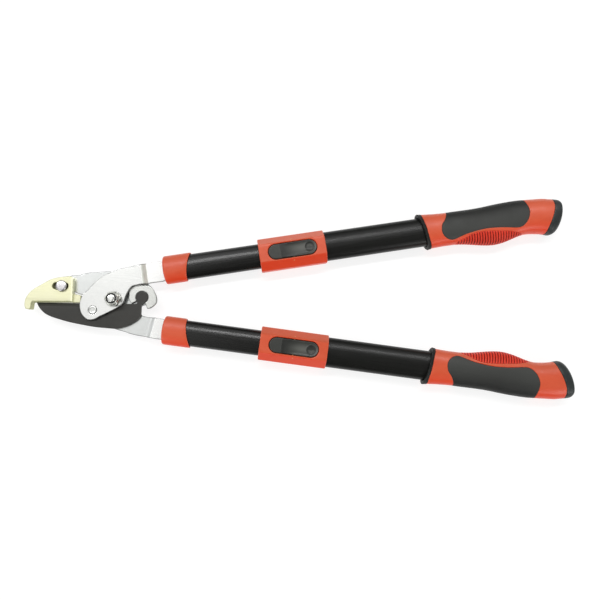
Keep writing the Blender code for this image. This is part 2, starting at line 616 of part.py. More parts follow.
def handle(prefix, side):
    angle = math.radians(BISECTOR + side * HALF_ANGLE)
    hinge = pivot_axis if side > 0 else frame_origin
    at = place(*AXES_CROSS)
    fixed = empty(prefix + "_tube_axis", at - hinge.location, angle, hinge)
    slider = empty(prefix + "_slide_axis", (0.0, 0.0, 0.0), 0.0, fixed)
    lever_axis = empty(prefix + "_lock_axis", (LOCK_S * MM, 0.0, LOCK_Z * MM), 0.0, slider)

    def on(made, look, parent, smooth=True):
        finish(made, look, smooth)
        if parent is lever_axis:
            made.data.transform(Matrix.Translation((-LOCK_S * MM, 0.0, -LOCK_Z * MM)))
        made.parent = parent
        return made

    # inner tube, with its row of lock holes on the front
    tube = sleeve(prefix + "_inner_tube", INNER_S, (INNER_A, INNER_B), (INNER_A - INNER_T, INNER_B - INNER_T), side)
    cut(tube, *[rod("hole", (PEG_S + HOLE_PITCH * k, 0.0), PEG_R + 0.8, 4.0, 14.0) for k in range(HOLES)],
        rod("hole", (280.0, 0.0), 2.4 + GAP, -14.0, 14.0))
    on(tube, "tube", fixed)
    plug = bar(prefix + "_tang_plug", (264.0, 304.0), (INNER_A - INNER_T - GAP, INNER_B - INNER_T - GAP), side)
    cut(plug, box("slot", (262.0, -13.2, -2.0 - GAP), (300.6, 13.2, 2.0 + GAP)),
        rod("hole", (280.0, 0.0), 2.4 + GAP, -14.0, 14.0))
    on(plug, "nylon", fixed)
    on(rod(prefix + "_tang_rivet", (280.0, 0.0), 2.4, -INNER_B + 0.1, INNER_B - 0.1), "steel", fixed)

    # ferrule: closed front wall with a slot for the plate, swooped rear edge
    outline = [(FERRULE_S + 1.4, -17.6), (FERRULE_S + 0.4, -13.0), (FERRULE_S, 0.0), (FERRULE_S + 0.4, 13.0), (FERRULE_S + 1.4, 17.6),
               (FERRULE_S + 1.6, 22.0)]
    outline += [(swoop(v), v) for v in (22.0, 18.0, 14.0, 10.0, 6.0, 2.0, -2.0, -6.0, -10.0, -14.0, -18.0, -22.0)]
    outline += [(FERRULE_S + 1.6, -22.0)]
    ferrule = bar(prefix + "_ferrule", (250.0, 300.0), (17.95, 12.2), side)
    keep(ferrule, drawn("edge", outline, -20.0, 20.0, side))
    cut(ferrule, bar("bore", (261.4, 310.0), (INNER_A + GAP, INNER_B + GAP), side),
        box("slot", (250.0, -14.6 if side > 0 else -13.4, -2.0 - GAP), (262.0, 13.4 if side > 0 else 14.6, 2.0 + GAP)))
    on(ferrule, "red", fixed)

    # plastic bush on the inner tube's rear end, which guides it in the outer tube
    bush = loft([oval(721.0, INNER_A - INNER_T - GAP, INNER_B - INNER_T - GAP, side=side),
                 oval(INNER_S[1] + GAP, INNER_A - INNER_T - GAP, INNER_B - INNER_T - GAP, side=side),
                 oval(INNER_S[1] + GAP, OUTER_A - OUTER_T - GAP, OUTER_B - OUTER_T - GAP, side=side),
                 oval(INNER_S[1] + 4.0, OUTER_A - OUTER_T - GAP, OUTER_B - OUTER_T - GAP, side=side)])
    on(to_object(prefix + "_end_bush", bush), "nylon", fixed)

    # outer tube, notched in front for the lock lever
    tube = sleeve(prefix + "_outer_tube", OUTER_S, (OUTER_A, OUTER_B), (OUTER_A - OUTER_T, OUTER_B - OUTER_T), side)
    cut(tube, box("notch", (430.0, -10.7, 3.0), (LOCK_S + 33.0, 10.7, 20.0)),
        rod("hole", (LOCK_S + 36.5, 0.0), 1.6 + GAP, -16.0, -5.0))
    on(tube, "tube", slider)

    # collar on the outer tube's front end
    low, high = COLLAR_S
    collar = to_object(prefix + "_collar", loft([collar_ring(low, 1.1), collar_ring(low + 1.1), collar_ring(high - 1.1),
                                                 collar_ring(high, 1.1)]))
    cut(collar,
        bar("bore", (low - 5.0, OUTER_S[0] - GAP), (INNER_A + 0.35, INNER_B + 0.35), side),
        bar("bore", (OUTER_S[0] - GAP - 0.01, high + 5.0), (OUTER_A + GAP, OUTER_B + GAP), side),
        plate("window", capsule((LOCK_S - WINDOW_HALF + WINDOW_W, 0.0), (LOCK_S + WINDOW_HALF - WINDOW_W, 0.0), WINDOW_W), 11.9, 30.0),
        plate("window", capsule((LOCK_S - WINDOW_HALF + WINDOW_W, 0.0), (LOCK_S + 8.0 - WINDOW_W, 0.0), WINDOW_W), 6.0, 14.0),
        plate("window", capsule((LOCK_S + 14.5 + WINDOW_W - 3.0, 0.0), (LOCK_S + WINDOW_HALF - WINDOW_W, 0.0), WINDOW_W), 6.0, 14.0),
        cross_rod("pin", LOCK_S, LOCK_Z, 1.2 + GAP, 30.0),
        rod("screw", (LOCK_S + 36.5, 0.0), 1.6 + GAP, -20.0, -5.0),
        rod("sink", (LOCK_S + 36.5, 0.0), 3.2 + GAP, -20.0, -14.0, 20))
    on(collar, "red", slider)
    on(turned(prefix + "_collar_screw", (LOCK_S + 36.5, 0.0), ((3.2, -15.4), (3.2, -14.3), (1.6, -14.3), (1.6, -10.9)), count=12),
       "steel", slider)

    # lock: rocker, its pin, its spring and the peg that drops into a hole of the inner tube
    lever = plate(prefix + "_lock_lever", capsule((LOCK_S - LEVER_HALF + LEVER_W, 0.0), (LOCK_S + LEVER_HALF - LEVER_W, 0.0), LEVER_W), 14.6, 17.0)
    join(lever, cross_rod("hub", LOCK_S, LOCK_Z, 2.5, 8.6))
    cut(lever, cross_rod("bore", LOCK_S, LOCK_Z, 1.2 + GAP, 30.0), rod("hole", (PEG_S, 0.0), PEG_R - 0.6 + GAP, 10.0, 16.0))
    on(lever, "lever", lever_axis)
    on(turned(prefix + "_lock_peg", (PEG_S, 0.0), ((PEG_R - 0.5, 8.1), (PEG_R, 8.6), (PEG_R, 14.2), (PEG_R - 0.6, 14.2),
                                                   (PEG_R - 0.6, 15.7)), count=12), "steel", lever_axis)
    on(cross_rod(prefix + "_lock_pivot_pin", LOCK_S, LOCK_Z, 1.2, 13.4, 12), "steel", slider)
    turns, wire, low_z, high_z = 2.0, 0.28, 12.1 + 0.28, 14.3 - 0.28
    path = []
    for k in range(19):
        t = k / 18
        path.append((LOCK_S + 11.2 + 2.4 * math.cos(2 * math.pi * turns * t), 2.4 * math.sin(2 * math.pi * turns * t),
                     low_z + (high_z - low_z) * t))
    rings = []
    for k, p in enumerate(path):
        p = Vector(p)
        d = (Vector(path[min(k + 1, 18)]) - Vector(path[max(k - 1, 0)])).normalized()
        out = Vector((p.x - LOCK_S - 11.2, p.y, 0.0)).normalized()
        up = d.cross(out).normalized()
        out = up.cross(d).normalized()
        rings.append([tuple(p + wire * (out * math.cos(a) + up * math.sin(a))) for a in (2 * math.pi * i / 5 for i in range(5))])
    on(to_object(prefix + "_lock_spring", loft(rings)), "steel", slider)

    # grip: red body round the outer tube, black pad, ribbed belly, front ring and end cap
    front = [(s + GAP, v) for s, v in RING_BACK]
    rear = [(s - GAP / 2, v) for s, v in CAP_LINE]
    body = grip_skin(prefix + "_grip", side)
    keep(body, drawn("ends", front[::-1][::-1] + rear, -20.0, 20.0, side))
    recess = drawn("recess", grown(PAD_EDGE, GAP), -20.0, 20.0, side)
    cut(recess, grip_skin("core", side, PAD_T + GAP))
    cut(body, recess)
    recess = drawn("recess", grown(RIB_EDGE, GAP), -20.0, 20.0, side)
    cut(recess, grip_skin("core", side, PAD_T + GAP))
    cut(body, recess)
    cut(body, bar("bore", (570.0, OUTER_S[1] + GAP), (OUTER_A + GAP, OUTER_B + GAP), side),
        bar("bore", (OUTER_S[1] - 5.0, 800.0), (12.0, 9.0), side, centre=-3.0))
    on(body, "red", slider)
    pad = grip_skin(prefix + "_grip_pad", side)
    keep(pad, drawn("edge", PAD_EDGE, -20.0, 20.0, side))
    cut(pad, grip_skin("core", side, PAD_T))
    on(pad, "rubber", slider)
    belly = grip_skin(prefix + "_grip_belly", side)
    keep(belly, drawn("edge", RIB_EDGE, -20.0, 20.0, side))
    cut(belly, grip_skin("core", side, PAD_T))
    on(belly, "belly", slider)
    ring = to_object(prefix + "_grip_ring", loft([oval(s, a, b, 0.0, side, 2.3, 28) for s, a, b in (
        (582.0, 23.8, 15.6), (590.0, 23.9, 15.7), (598.0, 23.9, 15.7), (606.0, 23.6, 15.5))]))
    keep(ring, drawn("edge", list(RING_FRONT) + list(RING_BACK), -20.0, 20.0, side))
    cut(ring, bar("bore", (570.0, 610.0), (OUTER_A + GAP, OUTER_B + GAP), side))
    on(ring, "rubber", slider)
    cap = grip_skin(prefix + "_end_cap", side)
    keep(cap, drawn("ends", [(s + GAP / 2, v) for s, v in CAP_LINE] + list(CAP_END), -20.0, 20.0, side))
    join(cap, bar("spigot", (749.0, 772.0), (12.0 - GAP, 9.0 - GAP), side, centre=-3.0))
    on(cap, "cap", slider)


handle("upper", 1)
handle("lower", -1)
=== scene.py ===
import json
import math

import bpy
import numpy as np
from mathutils import Matrix, Vector
from mathutils.geometry import delaunay_2d_cdt

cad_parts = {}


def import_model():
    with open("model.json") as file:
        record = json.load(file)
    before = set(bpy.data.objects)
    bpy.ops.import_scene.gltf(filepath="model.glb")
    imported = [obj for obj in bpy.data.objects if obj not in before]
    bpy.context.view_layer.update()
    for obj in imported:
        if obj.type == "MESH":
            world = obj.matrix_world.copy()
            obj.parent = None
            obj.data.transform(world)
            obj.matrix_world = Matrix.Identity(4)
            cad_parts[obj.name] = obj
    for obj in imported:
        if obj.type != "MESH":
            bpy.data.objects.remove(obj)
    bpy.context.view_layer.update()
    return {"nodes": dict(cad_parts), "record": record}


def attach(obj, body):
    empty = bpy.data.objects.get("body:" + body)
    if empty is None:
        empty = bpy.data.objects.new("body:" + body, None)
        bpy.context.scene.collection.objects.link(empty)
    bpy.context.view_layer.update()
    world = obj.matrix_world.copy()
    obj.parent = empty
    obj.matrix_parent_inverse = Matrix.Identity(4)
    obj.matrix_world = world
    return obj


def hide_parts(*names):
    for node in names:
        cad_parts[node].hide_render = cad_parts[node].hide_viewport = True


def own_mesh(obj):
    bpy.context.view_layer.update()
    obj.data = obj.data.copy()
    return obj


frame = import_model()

# ---------------------------------------------------------------- places, as in the CAD (mm and degrees)
MM = 0.001
CENTRE = (4.01, 5.32)
AXIS_HEIGHT = 16.0
AXES_CROSS = (-425.6, -4.3)
HALF_ANGLE, BISECTOR = 8.364, 0.733
PIVOT, SOCKET, DRIVE_PIN = (-231.3, -0.9), (-197.8, 2.1), (-256.7, -14.5)
SCREW_AT = (-295.2, 15.3)
SWING, RATIO = 60.0, 1.0 / 3.0
FRAME_Z, BLADE_Z, DRIVE_Z = (-6.7, -2.5), (-2.1, 1.9), (2.3, 6.3)
INNER_A, INNER_B, INNER_T = 15.95, 9.8, 1.4
OUTER_A, OUTER_B, OUTER_T = 18.75, 12.2, 1.4
INNER_S, OUTER_S = (262.0, 735.0), (438.0, 743.0)
COLLAR_S = (378.6, 463.3)
LOCK_S, LOCK_Z, PEG_R = 420.95, 13.4, 2.6
PEG_S = LOCK_S - 20.0
LEVER_HALF, LEVER_W = 30.4, 9.2
WINDOW_HALF, WINDOW_W = 31.1, 9.95


def world(points):
    """Drawing coordinates (x, y, z in mm) to the row frame, in metres."""
    p = np.asarray(points, float).reshape(-1, 3)
    return (p + np.array((-CENTRE[0], -CENTRE[1], AXIS_HEIGHT))) * MM


def along(side, svz):
    """Handle coordinates (s, v, z in mm) to drawing coordinates. v is positive on the outer side."""
    p = np.asarray(svz, float).reshape(-1, 3)
    t = math.radians(BISECTOR + side * HALF_ANGLE)
    s, v = p[:, 0], side * p[:, 1]
    return np.stack((AXES_CROSS[0] + s * math.cos(t) - v * math.sin(t),
                     AXES_CROSS[1] + s * math.sin(t) + v * math.cos(t), p[:, 2]), 1)


# ---------------------------------------------------------------- mesh tools
def smooth_line(points, steps=6, closed=False):
    """A curve through the points (Catmull-Rom), any number of columns."""
    p = np.asarray(points, float)
    n = len(p)
    out = []
    for i in range(n if closed else n - 1):
        if closed:
            a, b, c, d = p[i - 1], p[i], p[(i + 1) % n], p[(i + 2) % n]
        else:
            a, b, c, d = p[max(i - 1, 0)], p[i], p[i + 1], p[min(i + 2, n - 1)]
        for j in range(steps):
            t = j / steps
            out.append(0.5 * (2 * b + (c - a) * t + (2 * a - 5 * b + 4 * c - d) * t * t + (3 * b - a - 3 * c + d) * t ** 3))
    if not closed:
        out.append(p[-1])
    return np.array(out)


def spaced(points, step, closed=True):
    """The same line with points at even steps. Corners over 25 degrees stay where they are."""
    p = np.asarray(points, float)
    q = np.vstack((p, p[:1])) if closed else p
    keep = np.linalg.norm(np.diff(q, axis=0), axis=1) > 1e-7
    q = q[np.concatenate(([True], keep))]
    d = np.diff(q, axis=0)
    length = np.linalg.norm(d, axis=1)
    heading = np.arctan2(d[:, 1], d[:, 0])
    n = len(d)
    marks = [0]
    for i in range(1, n):
        turn = abs((heading[i] - heading[i - 1] + math.pi) % (2 * math.pi) - math.pi)
        if turn > math.radians(25):
            marks.append(i)
    marks.append(n)
    total = np.concatenate(([0.0], np.cumsum(length)))
    out = []
    for a, b in zip(marks[:-1], marks[1:]):
        span = total[b] - total[a]
        count = max(1, int(round(span / step)))
        at = total[a] + span * np.arange(count) / count
        out.append(np.stack([np.interp(at, total, q[:, k]) for k in range(q.shape[1])], 1))
    out = np.vstack(out)
    return out if closed else np.vstack((out, q[-1:]))


def distance(points, lines):
    """Distance from each 2D point to the nearest of the closed lines, or of open ones given as (line, False)."""
    best = np.full(len(points), 1e9)
    for line in lines:
        closed = True
        if isinstance(line, tuple):
            line, closed = line
        a = line if closed else line[:-1]
        b = np.roll(line, -1, axis=0) if closed else line[1:]
        ab = b - a
        ll = np.maximum((ab ** 2).sum(1), 1e-12)
        for k in range(0, len(points), 4000):
            p = points[k:k + 4000, None, :]
            t = np.clip(((p - a) * ab).sum(2) / ll, 0, 1)
            near = a + t[:, :, None] * ab
            best[k:k + 4000] = np.minimum(best[k:k + 4000], np.sqrt(((p - near) ** 2).sum(2)).min(1))
    return best


def inside(points, loop):
    """Even-odd test of 2D points in a closed loop."""
    x, y = points[:, 0:1], points[:, 1:2]
    a, b = loop, np.roll(loop, -1, axis=0)
    hit = ((a[:, 1] > y) != (b[:, 1] > y))
    cross = a[:, 0] + (y - a[:, 1]) * (b[:, 0] - a[:, 0]) / np.where(np.abs(b[:, 1] - a[:, 1]) < 1e-12, 1e-12, b[:, 1] - a[:, 1])
    return (hit & (x < cross)).sum(1) % 2 == 1


def shifted(loop, by):
    """Points beside a closed line, to its left for positive by."""
    d = np.roll(loop, -1, axis=0) - np.roll(loop, 1, axis=0)
    d /= np.maximum(np.linalg.norm(d, axis=1, keepdims=True), 1e-9)
    return loop + by * np.stack((-d[:, 1], d[:, 0]), 1)


def patch(loops, grid, rings=(), extra=(), shift=(0.0, 0.0)):
    """Triangulates the area inside loops[0] and outside the others. rings are distances from the edges at which
    it gets rows of points. Returns points, triangles, distance from the edge and the loops' point numbers."""
    loops = [np.asarray(q, float) for q in loops]
    pts, edges, numbers = [], [], []
    for loop in loops:
        base = sum(len(p) for p in pts)
        pts.append(loop)
        ids = np.arange(len(loop)) + base
        numbers.append(ids)
        edges += list(zip(ids.tolist(), np.roll(ids, -1).tolist()))
    lo, hi = loops[0].min(0), loops[0].max(0)
    more = []
    for r in rings:
        for loop in loops:
            for sign in (1, -1):
                q = shifted(loop, sign * r)
                more.append((q, r * 0.93))
    gx = np.arange(lo[0] + shift[0], hi[0], grid)
    gy = np.arange(lo[1] + shift[1], hi[1], grid * 0.866)
    xx, yy = np.meshgrid(gx, gy)
    xx = xx + (np.arange(len(gy)) % 2)[:, None] * grid / 2
    more.append((np.stack((xx.ravel(), yy.ravel()), 1), (max(rings) if rings else 0.0) + grid * 0.4))
    for q in extra:
        more.append((np.asarray(q, float), (min(rings) if rings else 0.1)))
    chosen = []
    for q, least in more:
        ok = inside(q, loops[0])
        for hole in loops[1:]:
            ok &= ~inside(q, hole)
        q = q[ok]
        if len(q):
            q = q[distance(q, loops) > least]
            chosen.append(q)
    flat = np.vstack(pts + chosen)
    coords = [Vector(p) for p in flat]
    verts, _, faces, orig, _, _ = delaunay_2d_cdt(coords, edges, [], 0, 1e-6)
    verts = np.array([tuple(v) for v in verts])
    faces = np.array([f for f in faces if len(f) == 3])
    mid = verts[faces].mean(1)
    ok = inside(mid, loops[0])
    for hole in loops[1:]:
        ok &= ~inside(mid, hole)
    faces = faces[ok]
    where = {}
    for k, o in enumerate(orig):
        for i in o:
            where.setdefault(i, k)
    numbers = [np.array([where[int(i)] for i in ids]) for ids in numbers]
    used = np.unique(np.concatenate([faces.ravel()] + numbers))
    renumber = np.full(len(verts), -1)
    renumber[used] = np.arange(len(used))
    verts, faces = verts[used], renumber[faces]
    numbers = [renumber[ids] for ids in numbers]
    area = np.cross(verts[faces[:, 1]] - verts[faces[:, 0]], verts[faces[:, 2]] - verts[faces[:, 0]])
    faces = faces[np.abs(area) > 1e-9]
    area = area[np.abs(area) > 1e-9]
    faces[area < 0] = faces[area < 0][:, ::-1]
    return verts, faces, distance(verts, loops), numbers


def make(name, verts, faces, look, body, nodes=(), slot=None, smooth=38.0, attrs=None, merge=True):
    """Adds a piece. verts are in the row frame, in metres."""
    mesh = bpy.data.meshes.new(name)
    mesh.from_pydata([tuple(v) for v in verts], [], [tuple(map(int, f)) for f in faces])
    for key, values in (attrs or {}).items():
        mesh.attributes.new(key, "FLOAT", "POINT").data.foreach_set("value", np.asarray(values, np.float32))
    mesh.validate()
    obj = bpy.data.objects.new(name, mesh)
    bpy.context.scene.collection.objects.link(obj)
    if merge:
        import bmesh
        bm = bmesh.new()
        bm.from_mesh(mesh)
        bmesh.ops.remove_doubles(bm, verts=bm.verts, dist=2e-6)
        bmesh.ops.dissolve_degenerate(bm, edges=bm.edges, dist=1e-7)
        bmesh.ops.recalc_face_normals(bm, faces=bm.faces)
        bm.to_mesh(mesh)
        bm.free()
    mesh.materials.append(look)
    mesh.shade_smooth()
    mesh.set_sharp_from_angle(angle=math.radians(smooth))
    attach(obj, body)
    if nodes:
        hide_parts(*nodes)
    return obj


def rounded(d, r):
    """How far a rounded edge of radius r drops at distance d from the edge."""
    x = np.clip(1 - np.asarray(d, float) / r, 0, 1)
    return r * (1 - np.sqrt(np.maximum(0, 1 - x * x)))


def soft(x):
    x = np.clip(x, 0, 1)
    return x * x * (3 - 2 * x)


class Parts:
    """Gathers several closed shapes into one piece."""

    def __init__(self):
        self.v, self.f, self.rim, self.count = [], [], [], 0

    def add(self, verts, faces, rim=None):
        verts = np.asarray(verts, float).reshape(-1, 3)
        self.v.append(verts)
        self.f += [tuple(int(i) + self.count for i in f) for f in faces]
        self.rim.append(np.zeros(len(verts)) if rim is None else np.asarray(rim, float))
        self.count += len(verts)
        return self

    def verts(self):
        return np.vstack(self.v)

    def rims(self):
        return np.concatenate(self.rim)


def slab(parts, loops, low, high, r=0.45, grid=3.0, rings=(0.12, 0.28, 0.5, 1.1, 2.2), lift=None, top=None,
         bottom=None, extra=(), step=0.8, even=True):
    """A flat piece with rounded edges. lift(x, y) moves it in z, and top and bottom(points, d) change its faces."""
    loops = [spaced(q, step) for q in loops] if even else [np.asarray(q, float) for q in loops]
    p, tri, d, ids = patch(loops, grid, rings, extra)
    up = high - rounded(d, r) + (top(p, d) if top else 0.0)
    down = low + rounded(d, r) + (bottom(p, d) if bottom else 0.0)
    move = lift(p) if lift else 0.0
    n = len(p)
    verts = np.vstack((np.column_stack((p, up + move)), np.column_stack((p, down + move))))
    faces = [tuple(t) for t in tri] + [tuple(t[::-1] + n) for t in tri]
    for loop in ids:
        nxt = np.roll(loop, -1)
        faces += [(a, a + n, b + n, b) for a, b in zip(loop, nxt)]
    rim = np.concatenate((d, d))
    return parts.add(verts, faces, rim)


def lathe(parts, centre, profile, count=64, closed=False, z_axis=None):
    """A turned shape about a vertical axis. A profile point is (r, z), or (("hex", flats, corner), z)."""
    rings = []
    for size, z in profile:
        t = 2 * math.pi * np.arange(count) / count
        if isinstance(size, tuple):
            step = math.pi / 3
            r = 0.5 * size[1] / np.cos((t % step) - step / 2)
            r = np.minimum(r, size[2])
        else:
            r = np.full(count, float(size))
        rings.append(np.column_stack((centre[0] + r * np.cos(t), centre[1] + r * np.sin(t), np.full(count, float(z)))))
    return loft(parts, rings, closed)


def loft(parts, rings, closed=False, rim=None):
    """A skin over rings of equal count. It is capped at both ends unless its last ring joins its first."""
    n = len(rings[0])
    verts = np.vstack(rings)
    faces = []
    for k in range(len(rings) if closed else len(rings) - 1):
        a, b = k * n, ((k + 1) % len(rings)) * n
        for i in range(n):
            j = (i + 1) % n
            faces.append((a + i, a + j, b + j, b + i))
    if not closed:
        faces.append(tuple(range(n))[::-1])
        faces.append(tuple(range((len(rings) - 1) * n, len(rings) * n)))
    return parts.add(verts, faces, rim)


def circle(centre, r, count=48, turn=1):
    t = turn * 2 * math.pi * np.arange(count) / count
    return np.column_stack((centre[0] + r * np.cos(t), centre[1] + r * np.sin(t)))


def capsule(a, b, r, count=20):
    a, b = np.asarray(a, float), np.asarray(b, float)
    t0 = math.atan2(b[1] - a[1], b[0] - a[0])
    out = []
    for centre, start in ((b, t0 - math.pi / 2), (a, t0 + math.pi / 2)):
        for i in range(count + 1):
            t = start + math.pi * i / count
            out.append((centre[0] + r * math.cos(t), centre[1] + r * math.sin(t)))
    return np.array(out)


def oval(s, a, b, count=72, centre=0.0, power=2.25, z=0.0):
    """A ring of the handle's section in handle coordinates."""
    t = 2 * math.pi * np.arange(count) / count
    c, d = np.cos(t), np.sin(t)
    return np.column_stack((np.full(count, float(s)), centre + a * np.sign(c) * np.abs(c) ** (2 / power),
                            z + b * np.sign(d) * np.abs(d) ** (2 / power)))


def cut(obj, name, verts, faces):
    """Cuts a closed shape, in the row frame, out of obj."""
    mesh = bpy.data.meshes.new(name)
    mesh.from_pydata([tuple(v) for v in verts], [], [tuple(map(int, f)) for f in faces])
    import bmesh
    bm = bmesh.new()
    bm.from_mesh(mesh)
    bmesh.ops.recalc_face_normals(bm, faces=bm.faces)
    bm.to_mesh(mesh)
    bm.free()
    tool = bpy.data.objects.new(name, mesh)
    bpy.context.scene.collection.objects.link(tool)
    made = obj.modifiers.new("cut", "BOOLEAN")
    made.operation, made.solver, made.object = "DIFFERENCE", "EXACT", tool
    bpy.context.view_layer.update()
    result = bpy.data.meshes.new_from_object(obj.evaluated_get(bpy.context.evaluated_depsgraph_get()))
    obj.modifiers.clear()
    old = obj.data
    obj.data = result
    bpy.data.meshes.remove(old)
    bpy.data.objects.remove(tool, do_unlink=True)
    bpy.data.meshes.remove(mesh)
    obj.data.shade_smooth()
    obj.data.set_sharp_from_angle(angle=math.radians(38.0))
    return obj


# ---------------------------------------------------------------- materials
class Look:
    """A Principled material and its nodes."""

    def __init__(self, name, roughness=0.5, metallic=0.0, specular=0.5, coat=0.0, coat_roughness=0.2):
        self.m = bpy.data.materials.new(name)
        self.m.use_nodes = True
        self.n, self.l = self.m.node_tree.nodes, self.m.node_tree.links
        self.b = self.n["Principled BSDF"]
        self.b.inputs["Roughness"].default_value = roughness
        self.b.inputs["Metallic"].default_value = metallic
        self.b.inputs["Specular IOR Level"].default_value = specular
        self.b.inputs["Coat Weight"].default_value = coat
        self.b.inputs["Coat Roughness"].default_value = coat_roughness
        self.coords = self.n.new("ShaderNodeTexCoord")
        self.place = self.coords.outputs["Object"]

    def link(self, a, b):
        self.l.new(a, b)

    def scaled(self, scale, rotation=(0.0, 0.0, 0.0), source=None):
        node = self.n.new("ShaderNodeMapping")
        node.inputs["Scale"].default_value = scale
        node.inputs["Rotation"].default_value = rotation
        self.link(source or self.place, node.inputs["Vector"])
        return node.outputs["Vector"]

    def noise(self, scale, detail=3.0, rough=0.5, vector=None, distortion=0.0):
        node = self.n.new("ShaderNodeTexNoise")
        node.inputs["Scale"].default_value = scale
        node.inputs["Detail"].default_value = detail
        node.inputs["Roughness"].default_value = rough
        node.inputs["Distortion"].default_value = distortion
        self.link(vector or self.place, node.inputs["Vector"])
        return node.outputs["Fac"]

    def cells(self, scale, vector=None, feature="F1"):
        node = self.n.new("ShaderNodeTexVoronoi")
        node.feature = feature
        node.inputs["Scale"].default_value = scale
        self.link(vector or self.place, node.inputs["Vector"])
        return node.outputs["Distance"]

    def attribute(self, name):
        node = self.n.new("ShaderNodeAttribute")
        node.attribute_name = name
        return node.outputs["Fac"]

    def ramp(self, fac, stops, mode="LINEAR"):
        node = self.n.new("ShaderNodeValToRGB")
        node.color_ramp.interpolation = mode
        e = node.color_ramp.elements
        while len(e) < len(stops):
            e.new(0.5)
        for k, (at, colour) in enumerate(stops):
            e[k].position = at
            e[k].color = colour if len(colour) == 4 else (*colour, 1.0)
        self.link(fac, node.inputs["Fac"])
        return node.outputs["Color"]

    def span(self, fac, a, b, lo, hi):
        """fac from a..b to lo..hi, clamped."""
        node = self.n.new("ShaderNodeMapRange")
        for key, value in (("From Min", a), ("From Max", b), ("To Min", lo), ("To Max", hi)):
            node.inputs[key].default_value = value
        self.link(fac, node.inputs["Value"])
        return node.outputs["Result"]

    def mix(self, fac, a, b, mode="MIX"):
        node = self.n.new("ShaderNodeMix")
        node.data_type = "RGBA"
        node.blend_type = mode
        for key, value in ((0, fac), (6, a), (7, b)):
            socket = node.inputs[key]
            if isinstance(value, (int, float)):
                socket.default_value = value
            elif isinstance(value, tuple):
                socket.default_value = value if len(value) == 4 else (*value, 1.0)
            else:
                self.link(value, socket)
        return node.outputs[2]

    def math(self, kind, a, b=0.0):
        node = self.n.new("ShaderNodeMath")
        node.operation = kind
        for key, value in ((0, a), (1, b)):
            if isinstance(value, (int, float)):
                node.inputs[key].default_value = value
            else:
                self.link(value, node.inputs[key])
        return node.outputs[0]

    def bump(self, *layers):
        """layers = (height, strength, distance in metres)"""
        last = None
        for height, strength, far in layers:
            node = self.n.new("ShaderNodeBump")
            node.inputs["Strength"].default_value = strength
            node.inputs["Distance"].default_value = far
            self.link(height, node.inputs["Height"])
            if last:
                self.link(last, node.inputs["Normal"])
            last = node.outputs["Normal"]
        self.link(last, self.b.inputs["Normal"])

    def colour(self, source):
        self.link(source, self.b.inputs["Base Color"])

    def rough(self, source):
        self.link(source, self.b.inputs["Roughness"])


def plastic(name, colour, light, dark, roughness=(0.36, 0.5), grain=1500.0, specular=0.45, grime=0.0, groove=False, shade=None, painted_sheen=None, deep=None):
    """Moulded plastic: fine spark-eroded grain, faint flow marks, and lighter rubbed edges. It can also take painted
    light and shade: a paler sheen on faces turned to +y, a brighter, richer red on faces turned to -y, a lighter colour
    set by the shade attribute, and darkened grooves.
    """
    k = Look(name, specular=specular)
    flow = k.noise(26.0, 4.0, 0.55, k.scaled((1.0, 2.2, 2.2)), 0.4)
    fine = k.noise(420.0, 2.0, 0.6)
    base = k.ramp(flow, ((0.28, dark), (0.5, colour), (0.74, light)))
    base = k.mix(k.span(fine, 0.35, 0.7, 0.0, 0.35), base, light)
    # painted light: faces turned to +y are mixed towards a paler painted sheen, and faces turned to -y towards a
    # brighter, richer red that stands in for light from the front below
    if painted_sheen:
        split = k.n.new("ShaderNodeSeparateXYZ")
        k.link(k.coords.outputs["Normal"], split.inputs[0])
        base = k.mix(k.span(split.outputs["Y"], 0.15, 0.75, 0.0, 0.85), base, painted_sheen)
        base = k.mix(k.span(split.outputs["Y"], -0.72, -0.12, 0.85, 0.0), base, deep)
    rub = k.span(k.attribute("rim"), 0.15, 1.1, 0.55, 0.0)
    spots = k.span(k.noise(160.0, 3.0, 0.6), 0.42, 0.62, 0.0, 1.0)
    base = k.mix(k.math("MULTIPLY", rub, spots), base, tuple(min(1.0, 1.25 * c + 0.02) for c in light))
    if grime:
        low = k.span(k.noise(60.0, 5.0, 0.7), 0.52, 0.72, 0.0, grime)
        base = k.mix(low, base, tuple(0.55 * c for c in dark))
    # painted light and shade: the shade attribute mixes the colour towards a lighter one
    if shade:
        base = k.mix(k.attribute("shade"), base, shade)
    # painted shade: the belly's grooves and the line along its border are darkened
    if groove:
        base = k.mix(k.span(k.attribute("groove"), 0.08, 0.62, 0.0, 0.97), base, (0.19, 0.004, 0.003))
    k.colour(base)
    k.rough(k.span(k.noise(70.0, 4.0, 0.6), 0.3, 0.7, *roughness))
    k.bump((k.noise(grain, 2.0, 0.5), 0.10, 0.0004), (k.noise(45.0, 2.0, 0.5), 0.05, 0.002))
    return k.m


